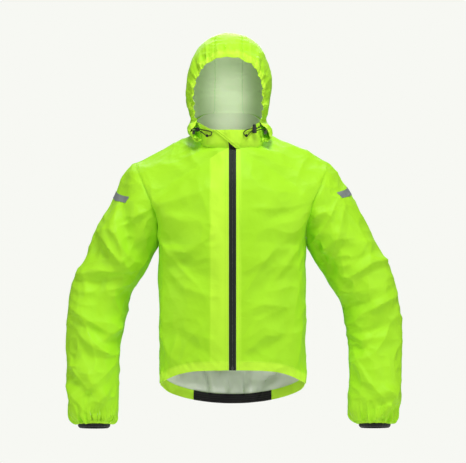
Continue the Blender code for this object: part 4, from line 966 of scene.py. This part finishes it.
def pleats(along, on, distance, lobe, high, reach, seed):
    """The same with sharp creases, which change slowly as they go on."""
    return high * crumple(xyz(along, 0, on), lobe, seed) * near(np.abs(distance), reach)


def glow(grid):
    """How much painted light the inside glows with, for daylight that comes through the hood and collar: most at the
    middle of the back, none in front.
    """
    side = np.abs(grid[..., 0] - HOOD_LEAN)
    high = smooth((grid[..., 2] - 0.13) / 0.10)
    patches = 1 + 0.10 * noise(grid, (0.05, 0.05, 0.03), 51) + 0.07 * crumple(grid, (0.045, 0.045, 0.016), 52)
    return smooth(grid[..., 1] / 0.09) * (1 - 0.9 * smooth((side - 0.012) / 0.075)) * (1 - 0.55 * high) * patches


def shell():
    """The body's, collar's and sleeves' grids, with the directions at their seams made common."""
    front, back = front_grid(), back_grid()
    turns = neck_turn(UP[NECK_ROW:])
    back_turns = np.linspace(SHOULDER_TURN, BACK_TURN, BACK_NECK_COLUMNS + 1)
    half = collar_points(np.concatenate([turns, back_turns[1:]]), np.linspace(0, 1, COLLAR_ROWS + 1)[:, None])
    collar = np.concatenate([half, mirrored(half)[:, 1:]], axis=1)
    sleeves = {"left": sleeve_grid("left"), "right": mirrored(sleeve_grid("right"), closed=True)}

    front_out, back_out = outward(front), outward(back)
    front_in, back_in, collar_in = -front_out, -back_out, -outward(collar)
    for edge in (front_in[: NECK_ROW + 1, 0], collar_in[:, 0], collar_in[:, -1]):
        edge[:] = unit(edge * (0, 1, 1))
    front_in[:, -1] = back_in[:, 0] = (-1, 0, 0)
    back_in[:, -1] = (1, 0, 0)
    front_in[-1] = back_in[-1] = (0, 0, -1)
    around = unit(front_in[NECK_ROW:, 0] + collar_in[0, : len(turns)])
    front_in[NECK_ROW:, 0] = collar_in[0, : len(turns)] = around
    collar_in[0, -len(turns) :] = around[::-1] * OTHER_SIDE
    behind = slice(len(turns) - 1, len(turns) + 2 * BACK_NECK_COLUMNS)
    common = unit(-back_out[-1, BACK_MIDDLE] + collar_in[0, behind])
    common[0], common[-1] = around[-1], around[-1] * OTHER_SIDE
    collar_in[0, behind] = back_in[-1, BACK_MIDDLE] = common

    fronts, arms = {}, {}
    for side, grid in sleeves.items():
        own = -outward(grid, closed=True)
        body = -np.concatenate([front_out[ARM_ROW:, -1][::-1], back_out[ARM_ROW:, 0][1:-1]])
        body[0] = (0, 0, -1)
        if side == "right":
            body = np.roll((body * OTHER_SIDE)[::-1], 1, axis=0)
        shared = own[0] = unit(own[0] + body)
        arms[side] = (grid, own)
        if side == "right":
            shared = np.roll(shared, -1, axis=0)[::-1] * OTHER_SIDE
        ring = len(UP) - ARM_ROW
        front_in = front_in.copy()
        front_in[ARM_ROW:, -1] = shared[:ring][::-1]
        up = np.concatenate([shared[ring - 1 :], shared[:1]])
        if side == "left":
            fronts[side], back_in[ARM_ROW:, 0] = (front, front_in), up
        else:
            fronts[side], back_in[ARM_ROW:, -1] = (mirrored(front), mirrored(front_in)), up * OTHER_SIDE
    return fronts, (back, back_in), (collar, collar_in), arms


def above_casing(grid):
    """Distance above the top of the hem's turn-up."""
    return edge_distance(grid, "low") - edge_distance(grid, "low")[ROW_STEPS]


def make_front(side, grid, inward):
    """A front: folds that die away towards the zip, a dip along its seams, and puckers above the hem's turn-up."""
    still = smooth(edge_distance(grid, side) / ZIP_STILL)
    casing = above_casing(grid)
    height = (folded(grid, inward) + crumpled(grid, BODY)) * still - seam_dips(grid, OTHER[side], "high")
    along = edge_distance(grid, "left") + 0.6 * casing
    height = height + puckers(along, casing, *HEM_PUCKERS) + pleats(along, 0.3 * casing, casing, *HEM_PLEATS) * still
    grid = leant(moved(grid, inward, height))
    # Painted light: a brighter band over the storm flap on the right front and the placket on the left, stronger higher
    # up and uneven, and over the hem's turn-up, as light through two layers would make them
    flap_light = near(np.abs(grid[..., 0]) - ZIP_HALF - (STORM_WIDE if side == "right" else PLACKET_WIDE), 0.004)
    flap_light = flap_light * near(UP[:, None] - NECK_FOOT, 0.004) * (0.55 + 0.25 * smooth(UP[:, None] / 0.4))
    flap_light = flap_light * (1 + 0.25 * noise(grid, (0.03, 0.03, 0.09), 14))
    marks = {
        "light_through_layers": np.maximum(near(casing - 0.001, 0.002), flap_light),
        "tape": near(edge_distance(grid, OTHER[side]), SEAM_TAPE),
    }
    layer(f"front_{side}", grid, inward, SHELL, marks=marks)
    return grid, inward


def make_back(grid, inward):
    """The back: the same, and the gathers that the tail's elastic draws up."""
    casing, along = above_casing(grid), edge_distance(grid, "left")
    height = folded(grid, inward) + crumpled(grid, BODY) - seam_dips(grid, "left", "right", "high")
    height = height + puckers(along, casing, *TAIL_PUCKERS)
    drawn = 0.35 + 0.65 * near(np.abs(grid[..., 0]) - 0.10, 0.06)
    fanned = grid[..., 0] / (1 + 3.5 * np.maximum(casing, 0))
    seams = np.minimum(along, edge_distance(grid, "right"))
    free = smooth((casing + 0.010) / 0.03) * smooth(seams / 0.05)
    height = height + drawn * free * pleats(fanned, 0.25 * casing, casing, *TAIL_PLEATS)
    grid = leant(moved(grid, inward, height))
    # Painted light: brighter over the hem's turn-up, where two layers lie together
    layer("back", grid, inward, SHELL, marks={"light_through_layers": near(casing - 0.001, 0.002), "tape": near(seams, SEAM_TAPE)})
    return grid, inward


def make_sleeve(side, grid, inward):
    """A sleeve: folds, and crumple that grows from the armhole down, less where it would break the outline."""
    grow = smooth(SLEEVE_PLACES / 0.14)[:, None]
    calm = 1 - 0.6 * smooth((SLEEVE_PLACES - 0.9) / 0.1)[:, None]
    height = folded(grid, inward) * calm - seam_dips(grid, "low")
    edge_on = grow * near(np.abs(inward[..., 1]), 0.55)
    rises = [body + grow * sleeve for body, sleeve in zip(BODY, SLEEVE)]
    height = height + calm * crumpled(grid, rises) * (1 - 0.6 * edge_on)
    cuff = edge_distance(grid, "high")
    column = np.arange(grid.shape[1]) / SLEEVE_COLUMN_STEPS
    height = height + pleats(column, cuff / 0.08, cuff, *CUFF_PLEATS[side])
    grid = moved(grid, inward, height * (0.15 + 0.85 * smooth(cuff / 0.006)))
    # Painted light: brighter just above the cuff, where the elastic lies inside
    marks = {"light_through_layers": 0.6 * near(cuff - 0.004, 0.002), "tape": near(edge_distance(grid, "low"), SEAM_TAPE)}
    flange = [(2, slice(-int((cuff[:, 0] < CUFF_FLANGE).sum()), None))]
    layer(f"sleeve_{side}", grid, inward, (*SHELL, ELASTIC), closed=True, marks=marks, lining=flange)
    return grid, inward


def make_collar(grid, inward):
    """The stand collar: two layers, nearly still above its seam, where it meets the body's edge."""
    grid = grid.copy()
    grid[0, :, 2] -= 2 * SEAM
    calm = 1 - 0.75 * np.linspace(0, 1, len(grid))[:, None] ** 0.5
    for side in ("left", "right"):
        calm = calm * smooth(edge_distance(grid, side) / ZIP_STILL)
    grid = leant(moved(grid, inward, calm * crumpled(grid, BODY) - seam_dips(grid, "low")))
    # Painted light: the collar brighter all over, as light through its two layers would make it, and its inside's
    # painted glow
    marks = {"light_through_layers": 0.75, "tape": near(edge_distance(grid, "low"), 0.01), "glow": glow(grid)}
    layer("collar", grid, inward, SHELL, marks=marks)
    return grid, inward


def hood_panel(name, grid, inward, face, seams):
    """A panel of the hood: still at its foot, gathered along the cord's channel, with a frill at the face edge."""
    centre = name == "hood_centre"
    from_face, from_foot = edge_distance(grid, face), edge_distance(grid, "high" if centre else "low")
    seam = np.minimum(*(edge_distance(grid, way) for way in seams))
    calm = smooth((from_foot - 0.06) / 0.06)
    height = (crumpled(grid, HOOD) + folded(grid, inward)) * calm - seam_dips(grid, *seams)
    round_face = edge_distance(grid, "left" if centre else "low")
    round_face = round_face + 0.012 * noise(grid, (0.05, 0.05, 0.04), 33) + 0.25 * from_face * noise(grid, 0.07, 34)
    gathers = puckers(round_face, from_face - CHANNEL, *CORD_GATHERS) + puckers(round_face, from_face, *FACE_FRILL)
    if centre:
        across = travelled(grid[0]) + 0.2 * from_face
        gathers = gathers + pleats(across, 0.3 * from_face, from_face - CHANNEL, *BRIM_PLEATS)
    lumps = 0.0046 * crumple(grid, (0.032, 0.032, 0.026), 35) * near(from_face, 0.07) * smooth(from_face / 0.006)
    drawn = 0.0016 * crumple(grid, (0.040, 0.040, 0.010), 36) * near(seam, 0.034)
    height = height + gathers * smooth(seam / 0.012) * smooth(from_foot / 0.03)
    height = height + lumps * smooth((from_foot - 0.04) / 0.04) + drawn * calm
    grid = leant(moved(grid, inward, height))
    # Painted light: brighter along the cord's channel stitching and a little all over, and the inside's painted glow
    stitched = near(from_face - CHANNEL, 0.003)
    marks = {"light_through_layers": 0.8 * stitched + 0.15, "tape": np.maximum(near(seam, SEAM_TAPE), stitched), "glow": glow(grid)}
    low_corner = (from_face < 0.05) & (np.arange(len(grid)) < FOLD_ROWS - 2)[:, None] & (not centre)
    layer(name, grid, inward, SHELL, marks=marks, lining=[(0, low_corner[:-1, :-1])])
    return grid, inward


def make_hood():
    """The hood's three panels, which share the directions along their seams."""
    side, centre = hood_side_grid(), hood_centre_grid()
    side_in, centre_in = -outward(side), -outward(centre)
    common = unit(np.concatenate([side_in[-1], side_in[-2::-1, -1]]) + centre_in[:, -1])
    side_in[-1], side_in[-2::-1, -1] = common[: HOOD_COLUMNS + 1], common[HOOD_COLUMNS + 1 :]
    centre_in[:, -1], centre_in[:, 0] = common, common * OTHER_SIDE
    return {
        "left": hood_panel("hood_side_left", side, side_in, "left", ("right", "high")),
        "right": hood_panel("hood_side_right", mirrored(side), mirrored(side_in), "right", ("left", "high")),
        "centre": hood_panel("hood_centre", centre, centre_in, "low", ("left", "right")),
    }


def make_hem(fronts, back):
    """The turn-ups inside the hem, the tail's elastic, and the storm flap behind the zip."""
    hem, deep = slice(0, ROW_STEPS + 1), CLOTH + SEAM
    zip_edge = (slice(ROW_STEPS, NECK_ROW + 1), slice(-2 * COLUMN_STEPS, None))
    for solid, name, on, (grid, inward), part, made, thick, lift in (
        ("hem_casing_left", "turn_up_left", "front_left_shell", fronts["left"], hem, NYLON, FACING, 0),
        ("hem_casing_right", "turn_up_right", "front_right_shell", fronts["right"], hem, NYLON, FACING, 0),
        ("hem_casing_back", "turn_up_back", "back_shell", back, hem, NYLON, FACING, 0),
        ("hem_gripper", "tail_elastic", "turn_up_back", back, (hem, BACK_MIDDLE), ELASTIC, GRIPPER, 0),
        ("storm_flap", "storm_flap_shell", "front_right_shell", fronts["right"], zip_edge, NYLON, FACING, 2 * SEAM),
    ):
        under = deep if made is NYLON else deep + FACING + SEAM
        low = grid[part] + under * inward[part]
        low[0, :, 2] += lift
        # Painted light: the nylon turn-ups and storm flap drawn at the full brightness of two layers
        layer(solid, low, inward[part], (made,), name, thick, marks=DOUBLE if made is NYLON else ())


def make_zip():
    """Two coated tapes that meet over the coil, raised along it, and the coil's turns behind them. They follow the
    fronts' zip edge and then the collar's, from the hem to the top."""
    low = np.column_stack([np.zeros(NECK_ROW + 1), through(CENTRE_FRONT, UP[: NECK_ROW + 1])])
    high = collar_points(np.array([ZIP_TURN]), np.linspace(0, 1, COLLAR_ROWS + 1)[1:, None])[:, 0]
    path = np.concatenate([low, high * (0, 1, 1)])
    across = np.linspace(SEAM / 2, ZIP_HALF - SEAM, 13)
    raised = 0.0007 * np.exp(-(((across - 0.0023) / 0.0016) ** 2))
    for side, way in (("left", 1), ("right", -1)):
        grid = path[:, None] + xyz(way * across[::way], TAPE_SINK - raised[::way], 0)
        made, on = (TAPE,), "front_left_shell"
        layer(f"zip_tape_{side}", leant(grid), -outward(grid), made, f"coated_tape_{side}", TAPE_THICK)
    up = travelled(path)
    at = np.arange(0.006, up[-1] - 0.002, COIL_PITCH)
    middle = leant(read(path, up, at)) + (0, TAPE_SINK + 0.0018, 0)
    middle[:, 0] += 0.0007 * np.where(np.arange(len(at)) % 2, 1, -1)
    bar = np.array([(x, y, z) for z in (-1, 1) for y in (-1, 1) for x in (-1, 1)]) * (0.0012, 0.0005, 0.00062)
    bar[:, 0] *= np.where(bar[:, 1] > 0, 0.8, 1)
    box = np.array([(0, 2, 3, 1), (4, 5, 7, 6), (0, 1, 5, 4), (2, 6, 7, 3), (0, 4, 6, 2), (1, 3, 7, 5)])
    faces = (box + 8 * np.arange(len(at))[:, None, None]).reshape(-1, 4)
    points = (middle[:, None] + bar).reshape(-1, 3)
    placed("coil_turns", mesh_of("coil_turns", points, faces, (ACETAL,)), "zip_coil")


def make_chin_flap():
    """The flap over the zip's top: the collar's outer points, moved out, and further out over the slider."""
    turns, share = np.linspace(ZIP_TURN, 80, 60), np.linspace(0, 1, 33)
    rows = []
    for part, (free, sewn) in zip(share, through(CHIN_FLAP, share)):
        x = np.linspace(free, sewn, 49)
        line = collar_points(turns, np.full(len(turns), part))
        rows.append(read(line, line[:, 0], np.abs(x)) * (0, 1, 1) + x[:, None] * (1, 0, 0))
    grid = np.array(rows)
    way, edge = outward(grid), edge_distance(grid, "left")
    over = 0.0040 * near(np.abs(grid[..., 0]), 0.020)
    fold = 0.0008 * np.exp(-(((edge - 0.009) / 0.0022) ** 2)) - 0.0005 * np.exp(-(((edge - 0.005) / 0.002) ** 2))
    soft = 0.0005 * crumple(grid, 0.022, 31) * smooth(edge / 0.01)
    grid = leant(grid + (FLAP_OFF + over + fold + soft)[..., None] * way)
    # Painted light: the flap drawn brighter, as light through two layers would make it
    layer("chin_flap", grid, -way, (NYLON,), thick=FLAP_THICK, marks={"light_through_layers": 0.85})


def on_sleeve(grid, turns, places, at):
    """Points of a left sleeve's grid at places along it and turns round it."""
    turns, at = np.append(turns, 2 * np.pi), at % (2 * np.pi)
    grid = np.concatenate([grid, grid[:, :1]], axis=1)
    i = np.clip(np.searchsorted(SLEEVE_PLACES, places, side="right") - 1, 0, len(SLEEVE_PLACES) - 2)
    j = np.clip(np.searchsorted(turns, at, side="right") - 1, 0, len(turns) - 2)
    v = ((places - SLEEVE_PLACES[i]) / (SLEEVE_PLACES[i + 1] - SLEEVE_PLACES[i]))[..., None]
    u = ((at - turns[j]) / (turns[j + 1] - turns[j]))[..., None]
    low, high = ((1 - u) * grid[row, j] + u * grid[row, j + 1] for row in (i, i + 1))
    return (1 - v) * low + v * high


def make_on_sleeves(sleeves):
    """The cuffs' elastic, and the reflective strips, which are made from the sleeves' points."""
    turns = ring_turns(armhole())
    down = np.linspace(SEAM, CUFF_HEIGHT, 9)
    part = (down / CUFF_HEIGHT)[:, None]
    for side in ("left", "right"):
        ring = sleeve_rings(side, np.ones(1), turns)[0]
        grid = ring + down[:, None, None] * unit(np.array((0, -SLEEVE_FORM[-1][3] * MM, -1)))
        grid = grid + CUFF_TAPER * part[..., None] ** 2.5 * (ring.mean(axis=0) - ring)
        column = np.arange(len(turns)) / SLEEVE_COLUMN_STEPS
        belly = 0.0009 * np.sin(np.pi * part) + 0.0003 * np.cos(2 * np.pi * column)
        grid = grid + belly[..., None] * outward(grid, closed=True)
        around = np.linspace(*np.radians(STRIP_TURNS[side]), 61)
        middle = STRIP_PLACES[side] - STRIP_CLIMB * (1 - np.cos(around))
        places = middle + np.linspace(-1, 1, 13)[:, None] * STRIP_HALF_PLACE
        own = sleeves[side][0] if side == "left" else mirrored(sleeves[side][0], closed=True)
        strip = on_sleeve(own, turns, places, around + 0 * places)
        strip = strip + FILM_OFF * outward(strip)
        if side == "right":
            grid, strip = mirrored(grid, closed=True), mirrored(strip)
        inward = -outward(grid, closed=True)
        layer(f"cuff_{side}", grid, inward, (ELASTIC,), f"cuff_{side}_binding", BINDING_THICK, closed=True)
        layer(f"reflective_{side}", strip, -outward(strip), (FILM,), f"strip_{side}_film", FILM_THICK)


def stitches(name, lines):
    """Rows of stitches: along each line of points, with its way out, short threads that dip at both ends."""
    shape = ((-1.0, 0.25), (-0.55, 1.0), (0.55, 1.0), (1.0, 0.25))
    angle = (np.linspace(0, 2 * np.pi, 4, endpoint=False) + np.pi / 4)[:, None]
    base = np.arange(16).reshape(4, 4)
    sides = cells(np.concatenate([base, base[:, :1]], axis=1))[:, (0, 3, 2, 1)]
    thread = np.concatenate([sides, base[:1], base[-1:, ::-1]])
    points, faces, count = [], [], 0
    for line, out in lines:
        far = travelled(line)
        at = np.arange(STITCH_PITCH, far[-1] - STITCH_PITCH, STITCH_PITCH)
        here, way = read(line, far, at), unit(read(out, far, at))
        along = unit(read(line, far, at + 0.001) - read(line, far, at - 0.001))
        across = np.cross(along, way)
        ring = np.cos(angle) * way[:, None, None] + np.sin(angle) * across[:, None, None]
        middle = [here + place * STITCH_LONG / 2 * along + 0.0002 * way for place, _ in shape]
        size = np.array(shape)[:, 1:, None] * STITCH_THICK
        points.append((np.stack(middle, 1)[:, :, None] + size * ring).reshape(-1, 3))
        faces.append((thread + 16 * np.arange(len(at))[:, None, None]).reshape(-1, 4) + count)
        count += 16 * len(at)
    placed(name, mesh_of(name, np.concatenate(points), np.concatenate(faces), (THREAD,), 60))


def inset(grid, inward, side, distance, part=slice(None)):
    """A line at a distance from a grid's edge, and its ways out."""
    far = edge_distance(grid, side)
    if side in ("low", "high"):
        far, grid, inward = far.T, grid.transpose(1, 0, 2), inward.transpose(1, 0, 2)
    if far[0, 0]:
        far, grid, inward = far[:, ::-1], grid[:, ::-1], inward[:, ::-1]
    j = np.clip((far < distance).sum(axis=1) - 1, 0, far.shape[1] - 2)
    i = np.arange(len(far))
    t = ((distance - far[i, j]) / (far[i, j + 1] - far[i, j]))[:, None]
    return (grid[i, j] * (1 - t) + grid[i, j + 1] * t)[part], -inward[i, j][part]


def sew(fronts, back, sleeves, collar, hood):
    """Topstitching along the seams."""
    body, along_zip = [], slice(0, NECK_ROW)
    for side, (grid, inward) in fronts.items():
        body += [inset(grid, inward, side, far, along_zip) for far in ZIP_STITCHES]
        body.append(inset(grid, inward, OTHER[side], FROM_SEAM, slice(ARM_ROW, None)))
        body.append(inset(grid, inward, "high", FROM_SEAM))
        body.append((grid[ROW_STEPS] - 0.0001 * inward[ROW_STEPS], -inward[ROW_STEPS]))
    body.append((back[0][ROW_STEPS], -back[1][ROW_STEPS]))
    body += [inset(*back, side, FROM_SEAM) for side in ("left", "right")]
    body += [inset(*collar, "low", FROM_SEAM), inset(*collar, "high", COLLAR_STITCHES)]
    stitches("topstitching_body", body)
    lines = [inset(*hood[side], side, CHANNEL) for side in ("left", "right")]
    lines += [inset(*hood["centre"], side, FROM_SEAM) for side in ("left", "right")]
    stitches("topstitching_hood", [*lines, inset(*hood["centre"], "low", CHANNEL)])
    under = sleeves["left"][0].shape[1] // 2
    stitches("topstitching_sleeves", [(grid[3:-4, under], -inward[3:-4, under]) for grid, inward in sleeves.values()])


def make_cord(side, route):
    """A drawcord: a round cord along the same smooth curve as its solid, in place of that solid. Its lock and bead keep
    their own solids.
    """
    line = curve(np.linspace(0, 1, len(route)), np.array(route) * MM, np.linspace(0, 1, CORD_POINTS))
    data = bpy.data.curves.new(f"hood_cord_{side}", "CURVE")
    data.dimensions = "3D"
    data.bevel_depth = CORD / 2
    data.bevel_resolution = 4
    data.use_fill_caps = True
    spline = data.splines.new("POLY")
    spline.points.add(len(line) - 1)
    spline.points.foreach_set("co", np.column_stack([line, np.ones(len(line))]).ravel())
    data.materials.append(BRAID)
    placed(f"hood_cord_{side}", data, f"drawcord_{side}")


def finish_solids():
    """The small hard parts keep their solids and get their finishes."""
    finishes = {"zip_slider": ACETAL, "zip_stop": ZINC}
    for side in ("left", "right"):
        finishes |= {f"cord_{kind}_{side}": ACETAL for kind in ("lock", "plunger", "bead")}
        finishes[f"cord_tab_{side}"] = TAB
    for name, made in finishes.items():
        for slot in bpy.data.objects[name].material_slots:
            slot.material = made


# The room


def in_room(name, data, place=(0, 0, 0), turn=(0, 0, 0)):
    made = bpy.data.objects.new(name, data)
    made.location, made.rotation_euler = place, turn
    bpy.context.collection.objects.link(made)
    return made


def make_room():
    """A pale floor far below, that fades out, in an even pale room with soft lights."""
    scene = bpy.context.scene
    scene.view_settings.view_transform = "Standard"
    scene.world = bpy.data.worlds.new("studio")
    scene.world.use_nodes = True
    tree = scene.world.node_tree
    seen = node(tree, "ShaderNodeBackground", {"Color": linear("#F7F8F3"), "Strength": 1.0})
    fill = node(tree, "ShaderNodeBackground", {"Color": linear("#FFFFFF"), "Strength": ROOM_LIGHT})
    which = node(tree, "ShaderNodeLightPath").outputs["Is Camera Ray"]
    mixed = node(tree, "ShaderNodeMixShader", {0: which, 1: fill.outputs[0], 2: seen.outputs[0]})
    tree.links.new(mixed.outputs[0], tree.nodes["World Output"].inputs[0])

    ring = np.linspace(0, 2 * np.pi, 64, endpoint=False)
    rim = xyz(np.cos(ring), np.sin(ring), 0) * FLOOR_RADIUS + (0, 0, FLOOR_Z)
    floor = bpy.data.meshes.new("floor")
    floor.from_pydata([*map(tuple, rim), (0, 0, FLOOR_Z)], [], [[k, (k + 1) % 64, 64] for k in range(64)])
    paint = finish("pale_floor_paint", None, Base_Color=linear("#F4F5F0"), Roughness=0.9)
    tree = paint.node_tree
    far = node(tree, "ShaderNodeVectorMath", {0: in_space(tree)}, operation="LENGTH").outputs["Value"]
    clear = spread(tree, far, 0.55 * FLOOR_RADIUS, 0.98 * FLOOR_RADIUS, 1.0, 0.0)
    tree.links.new(clear, tree.nodes["Principled BSDF"].inputs["Alpha"])
    floor.materials.append(paint)
    in_room("floor", floor)

    # Square area lights: place, the point each faces, size and power
    for name, place, aim, size, power in (
        ("key", (0.25, -1.8, 2.8), (0, 0, -0.1), 1.1, KEY_POWER),
        ("front", (1.0, -3.7, -0.45), (0, 0, -0.3), 1.2, FRONT_POWER),
        ("left_fill", (-2.8, -1.6, 0.2), (0, 0, -0.3), 1.6, SIDE_POWER),
        ("right_fill", (2.8, -1.6, 0.2), (0, 0, -0.3), 1.6, SIDE_POWER),
        ("behind", (0, 2.6, 2.0), (0, 0, -0.2), 2.2, BACK_POWER),
    ):
        lamp = bpy.data.lights.new(name, "AREA")
        lamp.energy, lamp.size = power, size
        x, y, z = np.subtract(aim, place)
        in_room(name, lamp, place, (np.arctan2(np.hypot(x, y), -z), 0, np.arctan2(-x, y)))

    camera = bpy.data.cameras.new("camera")
    camera.sensor_width, camera.lens = SENSOR, SENSOR * DISTANCE / FRAME_WIDTH
    scene.camera = in_room("camera", camera, (LOOK_X, -DISTANCE, LOOK_Z), (np.pi / 2, 0, 0))


make_room()
make_cord("left", CORD_LEFT)
make_cord("right", CORD_RIGHT)
front_parts, back_part, collar_part, sleeve_parts = shell()
fronts = {side: make_front(side, *part) for side, part in front_parts.items()}
back = make_back(*back_part)
sleeves = {side: make_sleeve(side, *part) for side, part in sleeve_parts.items()}
collar = make_collar(*collar_part)
hood = make_hood()
make_hem(fronts, back)
make_zip()
make_chin_flap()
make_on_sleeves(sleeves)
sew(fronts, back, sleeves, collar, hood)
finish_solids()
